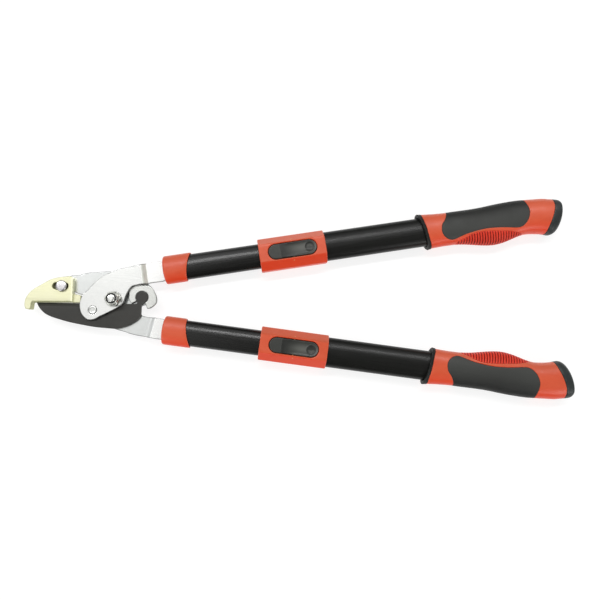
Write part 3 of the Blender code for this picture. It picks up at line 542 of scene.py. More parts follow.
def metal(name, colour, roughness=(0.2, 0.36), metallic=0.9, brush=(1.0, 34.0, 34.0), marks=0.35, angle=0.0, tint=None, bent=None, tang=None,
          painted_rim_shade=None, edge=(0.12, 0.62), spread=0.9):
    """Plated or ground metal: fine lines along one direction, smudges, scratches, and dull marks where it was bent,
    made darker there as painted shade of the crease. It can also paint light on the plate beyond a bend, and paint a
    band of shade where the rim attribute is low.
    """
    k = Look(name, metallic=metallic)
    lines = k.noise(55.0, 4.0, 0.65, k.scaled(brush, (0.0, 0.0, angle)))
    cloud = k.noise(38.0, 4.0, 0.6, distortion=0.5)
    base = k.mix(k.span(lines, 0.3, 0.7, 0.0, 0.5), colour, tuple(0.86 * c for c in colour))
    base = k.mix(k.span(cloud, 0.45, 0.75, 0.0, 0.22), base, tint or tuple(0.72 * c for c in colour))
    rough = k.span(lines, 0.3, 0.7, *roughness)
    rough = k.math("ADD", rough, k.span(cloud, 0.4, 0.7, 0.0, 0.06))
    # painted light: where the tang attribute is set the colour goes lighter, on the plates beyond their bends and on
    # the anvil's wall towards the pivot
    if tang:
        base = k.mix(k.attribute("tang"), base, tang)
    # dull mark on a bend's slope: rougher and less metallic, with its colour made darker as painted shade of the crease
    if bent:
        mark = k.math("MULTIPLY", k.attribute("bent"), k.span(k.noise(260.0, 4.0, 0.7), 0.36, 0.6, 0.62, 0.95))
        base = k.mix(mark, base, bent)
        rough = k.math("ADD", rough, k.math("MULTIPLY", k.attribute("bent"), 0.4))
        k.link(k.math("SUBTRACT", metallic, k.math("MULTIPLY", k.attribute("bent"), 0.65 * metallic)), k.b.inputs["Metallic"])
    # painted shade: a dark band where the rim attribute is low, along plate edges and on the sides and recesses of
    # nuts, bolts, screws and pins
    if painted_rim_shade:
        band = k.span(k.attribute("rim"), edge[0], edge[1], spread, 0.0)
        band = k.math("MULTIPLY", band, k.span(k.noise(85.0, 4.0, 0.65), 0.32, 0.62, 0.62, 1.0))
        base = k.mix(band, base, painted_rim_shade)
        rough = k.math("ADD", rough, k.math("MULTIPLY", band, 0.14))
    k.colour(base)
    k.rough(rough)
    scratch = k.noise(300.0, 3.0, 0.7, k.scaled((0.12, 1.0, 1.0), (0.0, 0.0, 0.5 + angle)))
    k.bump((lines, 0.08, 0.0003), (k.span(scratch, 0.6, 0.66, 0.0, 1.0), marks * 0.12, 0.0002))
    return k.m


# red plastic with painted light: a paler sheen on faces turned to +y and a brighter, richer red on faces turned to -y
RED = plastic("red_plastic", (0.635, 0.086, 0.032), (0.675, 0.102, 0.041), (0.585, 0.070, 0.024), (0.30, 0.42), specular=0.42,
              painted_sheen=(0.58, 0.112, 0.054), deep=(0.80, 0.052, 0.011))
BELLY = plastic("red_rubber", (0.69, 0.045, 0.022), (0.74, 0.058, 0.028), (0.61, 0.033, 0.015), (0.40, 0.52), 1100.0, 0.22, groove=True)
# black rubber: the shade attribute paints its pads lighter towards the handle's inner side as painted shading
RUBBER = plastic("black_rubber", (0.0105, 0.011, 0.010), (0.016, 0.0165, 0.0155), (0.008, 0.008, 0.0075), (0.44, 0.58), 900.0, 0.28, 0.2, shade=(0.047, 0.0485, 0.045))
RING = plastic("ring_rubber", (0.010, 0.0105, 0.0095), (0.016, 0.016, 0.015), (0.007, 0.007, 0.0065), (0.44, 0.58), 900.0, 0.22)
CAP = plastic("cap_plastic", (0.021, 0.026, 0.026), (0.031, 0.037, 0.037), (0.015, 0.018, 0.018), (0.36, 0.48), 1400.0, 0.34)
# catch: the shade attribute mixes towards light grey as painted highlights
LEVER = plastic("lever_plastic", (0.0155, 0.0165, 0.0145), (0.027, 0.029, 0.025), (0.011, 0.012, 0.011), (0.30, 0.42), 1300.0, 0.36, shade=(0.125, 0.128, 0.115))
NYLON = plastic("inner_plastic", (0.30, 0.30, 0.28), (0.36, 0.36, 0.34), (0.25, 0.25, 0.23), (0.45, 0.6), 900.0)
INSERT = plastic("nut_insert", (0.020, 0.020, 0.021), (0.030, 0.030, 0.032), (0.013, 0.013, 0.014), (0.35, 0.5), 900.0, 0.3)
# steel looks: each has a darker colour painted as shade along its rims, and the plates a lighter colour painted as
# light beyond their bends
STEEL = metal("steel", (0.85, 0.857, 0.843), (0.13, 0.21), bent=(0.60, 0.62, 0.55), tang=(0.95, 0.95, 0.94), painted_rim_shade=(0.12, 0.12, 0.115), edge=(0.6, 1.15))
GREY_STEEL = metal("grey_steel", (0.745, 0.762, 0.755), (0.14, 0.24), bent=(0.74, 0.752, 0.745), tang=(0.98, 0.985, 0.975), angle=-0.12, painted_rim_shade=(0.13, 0.135, 0.13), edge=(0.5, 1.1))
SOCKET_STEEL = metal("socket_steel", (0.74, 0.75, 0.725), (0.16, 0.26), angle=0.7, tint=(0.66, 0.68, 0.62), painted_rim_shade=(0.22, 0.225, 0.215), edge=(0.45, 1.1), spread=0.88)
BRIGHT = metal("bright_steel", (0.80, 0.80, 0.785), (0.18, 0.28), 1.0, (1.0, 1.0, 6.0), 0.15)
NUT_BOLT = metal("bolt_steel", (0.86, 0.87, 0.84), (0.18, 0.28), 1.0, (1.0, 1.0, 6.0), 0.15, painted_rim_shade=(0.10, 0.10, 0.09), edge=(0.0, 1.1))
PIN_STEEL = metal("pin_steel", (0.70, 0.71, 0.69), (0.22, 0.32), 1.0, (1.0, 1.0, 6.0), 0.15, painted_rim_shade=(0.44, 0.44, 0.43), edge=(0.0, 1.2))
SCREW = metal("screw_steel", (0.70, 0.685, 0.70), (0.20, 0.30), 1.0, (1.0, 1.0, 6.0), 0.25, tint=(0.50, 0.48, 0.50), painted_rim_shade=(0.13, 0.13, 0.11), edge=(0.0, 1.0))
NUT = metal("nut_steel", (0.74, 0.75, 0.70), (0.20, 0.30), 1.0, (1.0, 1.0, 6.0), 0.2, tint=(0.50, 0.51, 0.45), painted_rim_shade=(0.16, 0.165, 0.135), edge=(0.0, 1.0))
PIN = metal("pin", (0.75, 0.60, 0.28), (0.25, 0.4), 0.8)
BRASS = metal("anvil_brass", (0.815, 0.805, 0.555), (0.28, 0.40), 0.42, (1.0, 20.0, 20.0), 0.3, 0.0, (0.75, 0.74, 0.38), tang=(0.95, 0.95, 0.66), painted_rim_shade=(0.36, 0.37, 0.17), edge=(0.3, 0.95), spread=0.82)


def coated_blade():
    k = Look("coated_steel", metallic=0.25, specular=0.4)
    lines = k.noise(60.0, 3.0, 0.6, k.scaled((1.0, 16.0, 16.0)))
    cloud = k.noise(30.0, 4.0, 0.6)
    base = k.ramp(cloud, ((0.3, (0.030, 0.0295, 0.0265)), (0.7, (0.041, 0.040, 0.036))))
    # painted shade: the ground bevel along the cutting edge is made darker than the coating, standing in for the shade
    # beside the anvil
    ground = k.attribute("ground")
    base = k.mix(k.span(ground, 0.1, 0.9, 0.0, 0.7), base, (0.026, 0.0255, 0.0215))
    wear = k.math("MULTIPLY", k.span(k.attribute("rim"), 0.1, 0.7, 0.8, 0.0), k.span(k.noise(120.0, 3.0, 0.6), 0.42, 0.6, 0.0, 1.0))
    base = k.mix(wear, base, (0.12, 0.12, 0.11))
    k.colour(base)
    k.rough(k.span(lines, 0.3, 0.7, 0.40, 0.56))
    k.bump((k.noise(1700.0, 2.0, 0.5), 0.12, 0.0003), (lines, 0.05, 0.0004))
    return k.m


def painted_tube(name, colour, specular, roughness):
    """Black tube: fine grained coating, with drawing lines along the handle that show in its highlight."""
    k = Look(name, specular=specular)
    base = k.ramp(k.noise(40.0, 4.0, 0.6), ((0.3, tuple(0.88 * c for c in colour)), (0.7, tuple(1.15 * c for c in colour))))
    speck = k.span(k.cells(520.0), 0.02, 0.05, 0.35, 0.0)
    base = k.mix(k.math("MULTIPLY", speck, k.span(k.noise(25.0, 2.0, 0.5), 0.52, 0.66, 0.0, 1.0)), base, (0.16, 0.16, 0.15))
    k.colour(base)
    lines = k.noise(70.0, 3.0, 0.6, k.attribute_vector("lay", (0.25, 14.0, 14.0)))
    k.rough(k.span(lines, 0.3, 0.7, *roughness))
    k.bump((k.noise(1500.0, 2.0, 0.6), 0.16, 0.0003), (lines, 0.06, 0.0003))
    return k.m


def attribute_vector(self, name, scale):
    node = self.n.new("ShaderNodeAttribute")
    node.attribute_name = name
    return self.scaled(scale, (0.0, 0.0, 0.0), node.outputs["Vector"])


Look.attribute_vector = attribute_vector
BLADE = coated_blade()
TUBE = painted_tube("black_tube", (0.0026, 0.0026, 0.0020), 0.54, (0.19, 0.31))
OUTER_TUBE = painted_tube("black_outer_tube", (0.0050, 0.0052, 0.0044), 0.31, (0.26, 0.38))

# ---------------------------------------------------------------- head: frame plate
FRAME_TOP = ((-310.4, 14.0), (-308.6, 20.0), (-303.0, 24.0), (-295.0, 26.6), (-286.4, 29.7), (-282.7, 30.0),
             (-276.6, 30.8), (-271.2, 32.4), (-265.4, 33.5), (-259.0, 34.1), (-252.0, 34.6), (-242.7, 35.4),
             (-232.0, 34.8), (-221.0, 33.0), (-211.0, 29.8), (-202.0, 26.0), (-193.5, 21.0), (-187.4, 15.4),
             (-183.9, 9.8), (-181.4, 3.6), (-180.8, -1.0), (-181.6, -5.0), (-184.2, -7.4), (-190.0, -8.4),
             (-195.0, -7.2), (-199.2, -9.0), (-199.6, -14.0), (-199.2, -19.0), (-196.0, -21.2))
FRAME_TANG = ((-196.0, -21.2), (-189.6, -22.4), (-181.2, -23.2), (-174.8, -23.9))
FRAME_BACK = ((-174.3, -50.4), (-180.4, -49.7), (-186.6, -48.6), (-195.0, -46.8), (-202.8, -45.5),
              (-212.2, -43.3), (-218.4, -41.0), (-224.6, -39.3), (-231.0, -37.4), (-239.0, -34.0),
              (-248.0, -28.6), (-256.5, -21.5), (-262.8, -13.0), (-267.2, -4.5), (-270.4, 2.4),
              (-273.4, 5.4), (-277.0, 6.6), (-284.9, 9.2), (-300.0, 9.4), (-307.0, 10.2))


def tang(side, points):
    return along(side, [(s, v, 0.0) for s, v in points])[:, :2]


def joggle(at, direction, length, rise, low_y, high_y, ease=1.2):
    """Lift of a plate across a bend, with rounded creases."""
    d = np.array(direction) / np.linalg.norm(direction)

    def lift(p):
        t = (p - np.array(at)) @ d
        x = np.clip(t / length, 0, 1)
        e = ease / length
        y = np.where(x < e, x * x / (2 * e), np.where(x > 1 - e, 1 - e - (1 - x) ** 2 / (2 * e) + 0.0, x - e / 2))
        y = y / (1 - e)
        return rise * np.clip(y, 0, 1) * ((p[:, 1] > low_y) & (p[:, 1] < high_y))

    rows = []
    n = np.array((-d[1], d[0]))
    for t in np.arange(-2.2, length + 1.5, 0.4):
        rows.append(np.array(at) + d * t + n * np.arange(-40, 40, 0.9)[:, None])
    return lift, rows


def bend_marks(points, lift, rise, at, direction, length):
    """bent is 1 on a joggle's slope, and tang is 1 beyond it."""
    part = np.clip(lift(points[:, :2]) / rise, 0, 1)
    d = np.array(direction) / np.linalg.norm(direction)
    t = (points[:, :2] - np.array(at)) @ d
    near = (np.abs(points[:, 1]) < 60) & ((rise < 0) | (points[:, 1] < -16))
    return {"bent": soft((t + 1.8) / 1.6) * soft((length + 0.7 - t) / 1.3) * near, "tang": soft((part - 0.9) / 0.1)}


frame_lift, frame_rows = joggle((-189.2, -36.0), (1.0, -0.25), 5.5, 4.6, -90.0, -16.0)
outline = np.vstack((smooth_line(FRAME_TOP, 5)[:-1], smooth_line(FRAME_TANG, 4), tang(-1, ((261.0, -12.6), (299.0, -11.6))),
                     tang(-1, ((299.0, 11.6), (261.0, 12.2))), smooth_line(FRAME_BACK, 5)))
socket_rivets = ((-211.8, 17.6), (-205.2, 20.2))
holes = [circle(PIVOT, 5.4), circle(SCREW_AT, 4.4)] + [circle(at, 2.5, 28) for at in socket_rivets]
p = slab(Parts(), [outline] + holes, *FRAME_Z, 0.45, 3.2, lift=frame_lift, extra=frame_rows)
# bend marks: painted shade on the joggle's slope, painted light on the tang beyond it
make("frame_plate", world(p.verts()), p.f, GREY_STEEL, "frame", ["frame_plate"], "steel",
     attrs={"rim": p.rims(), **bend_marks(p.verts(), frame_lift, 4.6, (-189.2, -36.0), (1.0, -0.25), 5.5)})

# pivot socket
SOCKET_EDGE = ((-210.4, -5.9), (-212.9, -2.6), (-214.0, 1.6), (-213.9, 5.6), (-214.6, 10.0), (-215.2, 15.0),
               (-214.4, 20.0), (-211.6, 23.6), (-207.5, 24.6), (-203.8, 23.4), (-202.0, 20.6), (-199.9, 17.4),
               (-194.0, 17.2), (-188.6, 15.8), (-185.2, 13.2), (-182.7, 9.4), (-180.2, 4.0), (-179.3, -1.0),
               (-180.0, -5.0), (-182.0, -7.6), (-184.6, -10.0), (-188.0, -11.8), (-191.0, -12.0))
arc = [math.radians(299.0 + (215.0 + 360.0 - 299.0) * k / 60) for k in range(61)]
seat = np.array([(SOCKET[0] + 7.8 * math.cos(t), SOCKET[1] + 7.8 * math.sin(t)) for t in arc])
p = slab(Parts(), [np.vstack((smooth_line(SOCKET_EDGE, 5), seat))] + [circle(at, 2.5, 28) for at in socket_rivets], *BLADE_Z, 0.55, 2.4)
make("pivot_socket", world(p.verts()), p.f, SOCKET_STEEL, "frame", ["pivot_socket"], "steel", attrs={"rim": p.rims()})
for name, at in zip(("socket_rivet_a", "socket_rivet_b"), socket_rivets):
    p = lathe(Parts(), at, ((0.6, -8.55), (1.6, -8.45), (2.5, -8.15), (3.1, -7.6), (3.3, -7.1), (3.25, -7.0), (2.3, -7.0),
                            (2.3, 1.2), (2.0, 1.6), (1.2, 1.7)), 40)
    make(name, world(p.verts()), p.f, BRIGHT, "frame", [name], "steel")

# ---------------------------------------------------------------- head: anvil
ANVIL_TOP = ((-339.6, -8.5), (-339.4, -3.0), (-338.2, 0.6), (-336.0, 4.4), (-333.0, 8.2), (-328.4, 12.2),
             (-322.8, 15.6), (-317.2, 19.0), (-312.4, 22.0), (-307.2, 24.3), (-300.7, 25.9), (-294.1, 26.9),
             (-288.0, 27.6), (-284.6, 27.4), (-283.0, 25.6), (-282.2, 21.0), (-282.0, 10.0), (-282.0, -4.3))
HOOK = ((-330.6, -4.6), (-331.4, -6.0), (-331.6, -8.0), (-332.0, -12.0), (-333.0, -13.3), (-336.8, -13.4),
        (-338.6, -12.2), (-339.6, -8.5))


def teeth(x0, x1, pitch=2.2, deep=0.8, base=-4.35):
    """The fine saw edge along the anvil's flange, from right to left."""
    out = []
    n = int(round((x0 - x1) / pitch))
    for k in range(n):
        x = x0 - (x0 - x1) * k / n
        w = (x0 - x1) / n
        out += [(x, base), (x - 0.42 * w, base), (x - 0.55 * w, base + deep), (x - 0.88 * w, base + deep)]
    return out


saw = teeth(-283.0, -330.0)
p = Parts()
front = np.vstack((smooth_line(ANVIL_TOP, 5), saw, smooth_line(HOOK, 4)[:-1]))
hole = capsule((SCREW_AT[0] - 7.2, SCREW_AT[1]), (SCREW_AT[0] + 3.2, SCREW_AT[1]), 4.4)[::-1]


def anvil_top(q, d):
    """The front face: a shallow step above the toothed flange."""
    step = -0.12 * (1 - soft((q[:, 1] + 1.6) / 1.4)) * soft((-284.0 - q[:, 0]) / 1.5)
    return step


slab(p, [front, hole], -2.1, 5.5, 0.6, 2.2, top=anvil_top, extra=[np.column_stack((np.arange(-338, -283, 0.8), np.full(69, y))) for y in (-0.8, -0.3, 0.2, 0.5)])
rear = np.array(((-339.5, -8.5), (-339.3, -3.0), (-338.2, 0.4), (-336.0, 4.2), (-333.0, 8.0), (-328.4, 12.0),
                 (-322.8, 15.4), (-317.2, 18.8), (-312.6, 21.6), (-311.7, 8.0), (-282.1, 7.9), (-282.1, -4.3)))
slab(p, [np.vstack((rear, ((-283.0, -4.5), (-330.0, -4.5)), smooth_line(HOOK, 4)[1:-1]))], -5.5, -1.5, 0.5, 3.0)
heel = np.array(((-284.0, 5.4), (-277.0, 5.2), (-272.9, 3.8), (-272.9, -4.8), (-284.0, -4.8)))
slab(p, [heel], -5.2, 1.9, 0.5, 2.0)
v = p.verts()
# painted light: the anvil's wall towards the pivot gets no painted edge shade and takes the lighter tang colour
right = (v[:, 0] > -283.6) & (v[:, 1] > -3.6) & ((v[:, 2] > 2.0) | (v[:, 1] > 5.5))  # the wall towards the pivot
make("anvil", world(p.verts()), p.f, BRASS, "frame", ["anvil"], "anvil_brass", attrs={"rim": np.where(right, 2.0, p.rims()), "tang": right.astype(float)}, merge=False)

def rings_of(profile, marks, count):
    """rim values for a lathe: one mark for each profile point."""
    return np.repeat(np.asarray(marks, float), count)


# third column: rim mark; low marks on the head's side and rounded edge paint shade there
profile = ((3.3, -13.4, 0), (4.0, -12.8, 0), (4.0, 5.85, 0), (5.6, 5.85, 0), (6.5, 5.95, 0), (6.7, 6.3, 0), (6.7, 7.8, 0.05), (6.5, 8.45, 0.25),
           (6.15, 8.85, 0.8), (5.7, 9.1, 1.1), (5.1, 9.22, 1.3), (4.4, 9.28, 1.4), (3.2, 9.3, 1.4), (1.6, 9.34, 1.4), (0.5, 9.35, 1.4))
p = lathe(Parts(), SCREW_AT, [q[:2] for q in profile], 72)
make("anvil_screw", world(p.verts()), p.f, SCREW, "frame", ["anvil_screw"], "steel", attrs={"rim": rings_of(profile, [q[2] for q in profile], 72)})
p = lathe(Parts(), SCREW_AT, ((("hex", 12.0, 6.3), -7.0), (("hex", 13.0, 7.4), -7.4), (("hex", 13.0, 7.4), -11.9),
                              (("hex", 12.4, 6.6), -12.5), (4.8, -12.5), (4.2, -12.0), (4.2, -7.0)), 72, True)
make("anvil_nut", world(p.verts()), p.f, BRIGHT, "frame", ["anvil_nut"], "steel")

# ---------------------------------------------------------------- head: main pivot
thread = [(4.75 if k % 2 else 4.4, 14.6 + 0.4 * k) for k in range(8)]
profile = [(2.5, -15.6), (5.6, -15.6), (6.0, -15.95), (7.2, -15.95), (("hex", 16.0, 8.3), -15.8), (("hex", 17.0, 9.3), -15.0),
           (("hex", 17.0, 9.6), -9.3), (4.95, -9.25), (4.95, 14.2)] + thread + [(4.75, 17.7), (4.6, 18.05), (4.3, 18.38), (3.9, 18.56), (1.8, 18.6)]
p = lathe(Parts(), PIVOT, profile, 96)
# rim marks: painted shade down the thread between the nut and the bolt's end; the end face stays bright
marks = [1.4] * 9 + [0.0] * 8 + [0.0, 0.45, 1.2, 1.4, 1.4]
make("pivot_bolt", world(p.verts()), p.f, NUT_BOLT, "frame", ["pivot_bolt"], "steel", attrs={"rim": rings_of(profile, marks, 96)})
profile = ((("hex", 16.4, 8.6), 8.25), (("hex", 17.0, 9.5), 8.7), (("hex", 17.0, 9.6), 12.8), (("hex", 17.0, 9.0), 13.5),
           (("hex", 16.4, 8.3), 14.1), (8.0, 14.3), (7.75, 14.7), (7.65, 16.2), (7.45, 16.9), (7.0, 17.3), (6.7, 17.3),
           (6.5, 17.0), (6.45, 16.0), (5.3, 16.0), (5.3, 8.25))
p = lathe(Parts(), PIVOT, profile, 96, True)
# rim marks: painted shade on the hex walls, at the collar's foot and inside it round the insert; the tops stay bright
marks = [0.0, 0.1, 0.35, 0.75, 1.0, 0.9, 0.35, 0.45, 1.0, 1.4, 1.4, 0.4, 0.0, 0.0, 0.0]
make("pivot_nut", world(p.verts()), p.f, NUT, "frame", ["pivot_nut"], "steel", attrs={"rim": rings_of(profile, marks, 96)})
p = lathe(Parts(), PIVOT, ((4.85, 16.05), (4.85, 16.8), (5.1, 17.1), (5.7, 17.2), (6.2, 17.1), (6.4, 16.8), (6.4, 16.05)), 96, True)
make("nut_insert", world(p.verts()), p.f, INSERT, "frame", ["pivot_nut"], "inner_plastic")
for name, radius, low, high in (("front_washer", 9.9, 6.75, 8.0), ("rear_washer", 11.0, -8.9, -7.0), ("pivot_bush", 7.8, -2.05, 1.85)):
    p = lathe(Parts(), PIVOT, ((radius - 0.3, low), (radius, low + 0.3), (radius, high - 0.35), (radius - 0.35, high),
                               (5.6, high), (5.35, high - 0.2), (5.35, low)), 96, True)
    make(name, world(p.verts()), p.f, BRIGHT, "frame", [name], "steel")

# ---------------------------------------------------------------- head: drive plate and pin
DRIVE_LOW = ((-268.6, 6.4), (-271.4, -0.4), (-272.6, -6.0), (-272.3, -11.0), (-270.9, -16.9), (-268.3, -21.3),
             (-264.3, -24.9), (-259.8, -26.4), (-254.7, -25.8), (-250.8, -24.1), (-247.2, -21.9), (-241.2, -19.1),
             (-235.2, -16.0), (-229.3, -12.9), (-224.7, -10.0), (-221.2, -7.0), (-218.8, -3.4), (-217.4, 1.2),
             (-216.1, 4.8), (-214.0, 9.2), (-211.8, 13.0), (-208.6, 15.8), (-202.8, 17.4), (-195.1, 18.8),
             (-188.0, 20.2), (-180.6, 21.3), (-173.2, 22.3))
DRIVE_HIGH = ((-174.6, 47.4), (-186.6, 46.8), (-193.5, 45.2), (-200.5, 43.2), (-206.6, 41.8), (-212.8, 40.2),
              (-218.9, 38.9), (-225.0, 37.5), (-230.5, 35.6), (-235.6, 33.3), (-239.6, 31.2), (-244.5, 28.5),
              (-249.0, 25.3), (-253.2, 22.0), (-257.0, 18.2), (-260.4, 14.0), (-263.6, 10.2), (-268.6, 6.4))
drive_lift, drive_rows = joggle((-197.3, 31.0), (1.0, 0.16), 5.2, -4.3, -90.0, 90.0)
outline = np.vstack((smooth_line(DRIVE_LOW, 5), tang(1, ((261.0, -12.8), (299.0, -11.6), (299.0, 11.6), (261.0, 11.6))),
                     smooth_line(DRIVE_HIGH, 5)[:-1]))
p = slab(Parts(), [outline, circle(PIVOT, 5.4), circle(DRIVE_PIN, 5.25)], *DRIVE_Z, 0.5, 3.0, lift=drive_lift, extra=drive_rows)
# rim for the painted edge shade: thinner along the lower edge and round the drive pin's hole; bend marks paint crease
# shade on the slope and light on the tang
make("drive_plate", world(p.verts()), p.f, STEEL, "drive", ["drive_plate"], "steel",
     attrs={"rim": p.rims() + 0.42 * (distance(p.verts()[:, :2], [(smooth_line(DRIVE_LOW, 5), False)]) < 2.2)
            + 0.75 * (np.linalg.norm(p.verts()[:, :2] - np.asarray(DRIVE_PIN), axis=1) < 6.6),
            **bend_marks(p.verts(), drive_lift, -4.3, (-197.3, 31.0), (1.0, 0.16), 5.2)})
# third column: rim mark; low marks paint shade on the pin head's side and a faint painted ring on its top
profile = ((2.9, -1.9, 1.4), (3.3, -1.5, 1.4), (3.3, 4.6, 1.4), (4.9, 4.6, 0.5), (5.0, 5.4, 0.6), (4.95, 5.95, 0.8), (4.75, 6.2, 1.1), (4.3, 6.3, 1.3),
           (3.9, 6.3, 1.4), (3.5, 6.27, 1.1), (3.2, 6.21, 0.8), (2.8, 6.18, 1.0), (2.2, 6.175, 1.4), (1.2, 6.17, 1.4), (0.4, 6.17, 1.4))
p = lathe(Parts(), DRIVE_PIN, [q[:2] for q in profile], 64)
make("drive_pin", world(p.verts()), p.f, PIN_STEEL, "drive", ["drive_pin"], "steel", attrs={"rim": rings_of(profile, [q[2] for q in profile], 64)})

# ---------------------------------------------------------------- head: blade
BLADE_LOW = ((-327.0, -4.78), (-323.2, -10.8), (-319.0, -15.7), (-314.4, -19.4), (-309.2, -22.0), (-303.8, -24.0),
             (-298.5, -25.6), (-291.1, -27.8), (-283.7, -29.7), (-276.3, -31.3), (-268.9, -32.7), (-261.5, -34.1),
             (-254.1, -35.2), (-246.7, -36.0), (-239.3, -36.6), (-231.9, -37.2), (-227.6, -37.2), (-224.6, -36.7),
             (-221.0, -35.8), (-217.3, -34.6), (-213.6, -33.1), (-210.0, -31.2), (-206.4, -29.0), (-202.9, -26.4),
             (-200.4, -23.6), (-198.9, -20.8), (-198.5, -18.0), (-198.4, -13.4), (-198.4, -9.0))


def edge_y(x):
    return -4.75 - 1.45 * (x + 327.0) / (SOCKET[0] - 7.0 + 327.0)


def turned_about(point, centre, degrees):
    t = math.radians(degrees)
    x, y = point[0] - centre[0], point[1] - centre[1]
    return np.array((centre[0] + x * math.cos(t) - y * math.sin(t), centre[1] + x * math.sin(t) + y * math.cos(t)))


cam = np.array([turned_about(turned_about(DRIVE_PIN, PIVOT, a), SOCKET, -RATIO * a) for a in np.linspace(-1.0, SWING + 1.0, 22)])
step = np.gradient(cam, axis=0)
step /= np.linalg.norm(step, axis=1, keepdims=True)
normal = np.stack((-step[:, 1], step[:, 0]), 1)
ends = []
for at, d in ((cam[-1], step[-1]), (cam[0], -step[0])):
    a = math.atan2(d[1], d[0])
    ends.append(np.array([at + 3.6 * np.array((math.cos(a + t), math.sin(a + t))) for t in np.linspace(math.pi / 2, -math.pi / 2, 16)[1:-1]]))
slot = np.vstack((cam + 3.6 * normal, ends[0], (cam - 3.6 * normal)[::-1], ends[1]))
half = math.sqrt(81.0 - (PIVOT[1] - edge_y(PIVOT[0])) ** 2)
scallop = [(PIVOT[0] + half * math.cos(math.pi * k / 20), PIVOT[1] - math.sqrt(max(0.0, 81.0 - (half * math.cos(math.pi * k / 20)) ** 2))) for k in range(21)]
lobe = [(SOCKET[0] + 7.5 * math.cos(math.radians(-85 + 310 * k / 60)), SOCKET[1] + 7.5 * math.sin(math.radians(-85 + 310 * k / 60))) for k in range(61)]
neck = [(SOCKET[0] - 6.6, edge_y(SOCKET[0] - 6.6) + 0.6), (SOCKET[0] - 9.0, edge_y(SOCKET[0] - 9.0))]
outline = np.vstack((smooth_line(BLADE_LOW, 4), lobe, neck, scallop))


def grind(p, d):
    """How far each face is ground down towards the cutting edge."""
    depth = edge_y(p[:, 0]) - p[:, 1]
    keep = soft((depth + 0.1) / 5.2) * 0.92 + 0.08
    keep = np.where(depth > 5.1, 1.0, np.clip(depth / 5.1, 0.06, 1.0))
    length = soft((-262.0 - p[:, 0]) / 6.0)
    return 2.0 * (1 - keep) * length


rows = [np.column_stack((np.arange(-326, -262, 0.9), edge_y(np.arange(-326, -262, 0.9)) - t)) for t in (0.5, 1.3, 2.4, 3.6, 4.7, 5.1, 5.5)]
p = slab(Parts(), [outline, slot], *BLADE_Z, 0.35, 2.8, top=lambda q, d: -grind(q, d), bottom=lambda q, d: grind(q, d), extra=rows)
v = p.verts()
# the ground attribute marks the ground bevel, which the blade's look paints darker as shade
made = make("blade", world(v), p.f, BLADE, "blade", ["blade"], "coated_steel",
            attrs={"rim": p.rims(), "ground": soft(grind(v[:, :2], None) / 0.3)})

# ---------------------------------------------------------------- grips: their skin
# One section each: outer point, inner point (in s and v) and half thickness.
SECTIONS = (
    (580.0, 23.6, 580.0, -23.8, 15.1), (595.6, 22.7, 595.6, -22.9, 14.9), (609.0, 21.5, 609.0, -22.3, 14.8),
    (622.0, 20.8, 622.0, -22.1, 14.8), (635.0, 20.6, 635.0, -22.5, 14.9), (646.0, 20.5, 646.0, -23.9, 15.1),
    (658.0, 20.4, 658.0, -26.3, 15.3), (668.0, 20.6, 668.0, -28.4, 15.4), (677.5, 21.1, 677.5, -29.8, 15.5),
    (686.0, 21.8, 686.0, -30.2, 15.5), (696.0, 22.4, 696.0, -29.1, 15.4), (706.0, 22.8, 706.0, -26.8, 15.3),
    (716.0, 23.0, 716.0, -24.2, 15.3), (726.0, 22.8, 726.0, -22.7, 15.4), (736.0, 22.3, 735.6, -23.2, 15.7),
    (748.0, 21.45, 746.6, -25.0, 15.9), (755.0, 20.93, 753.0, -26.8, 15.97), (760.4, 20.12, 758.4, -28.4, 15.9),
    (765.8, 18.9, 763.8, -27.0, 15.7), (771.2, 17.8, 768.2, -23.3, 15.3), (775.6, 16.6, 772.2, -17.7, 14.6),
    (778.2, 15.0, 775.1, -11.4, 13.3), (780.0, 12.4, 777.2, -5.6, 10.8), (780.6, 9.4, 778.9, -0.6, 7.0),
    (780.8, 6.8, 780.0, 3.6, 1.2),
)
GRIP_POWER = 2.35
skin = smooth_line(SECTIONS, 10)
mid = 0.5 * (skin[:, 0] + skin[:, 2])
crest = np.concatenate(([0.0], np.cumsum(np.hypot(np.diff(mid), np.diff(skin[:, 4])))))
station = mid[0] + crest
ROUND = 19.0  # mm of the unrolled skin for each radian


def on_skin(q):
    """Unrolled skin (station, angle x ROUND) to handle coordinates (s, v, z)."""
    x, t = q[:, 0], q[:, 1] / ROUND
    ox, oy, ix, iy, b = (np.interp(x, station, skin[:, k]) for k in range(5))
    c = np.sign(np.cos(t)) * np.abs(np.cos(t)) ** (2 / GRIP_POWER)
    d = np.sign(np.sin(t)) * np.abs(np.sin(t)) ** (2 / GRIP_POWER)
    return np.stack((0.5 * (ox + ix) + 0.5 * (ox - ix) * c, 0.5 * (oy + iy) + 0.5 * (oy - iy) * c, b * d), 1)


def skin_normal(q):
    e = 0.25
    a = on_skin(q + (e, 0)) - on_skin(q - (e, 0))
    b = on_skin(q + (0, e)) - on_skin(q - (0, e))
    n = np.cross(b, a)
    n /= np.maximum(np.linalg.norm(n, axis=1, keepdims=True), 1e-9)
    middle = np.stack([np.interp(q[:, 0], station, 0.5 * (skin[:, k] + skin[:, k + 2])) for k in (0, 1)], 1)
    out = on_skin(q)
    facing = n[:, 1] * (out[:, 1] - middle[:, 1]) + n[:, 2] * out[:, 2] + n[:, 0] * 2.0
    return n * np.where(facing < 0, -1.0, 1.0)[:, None]


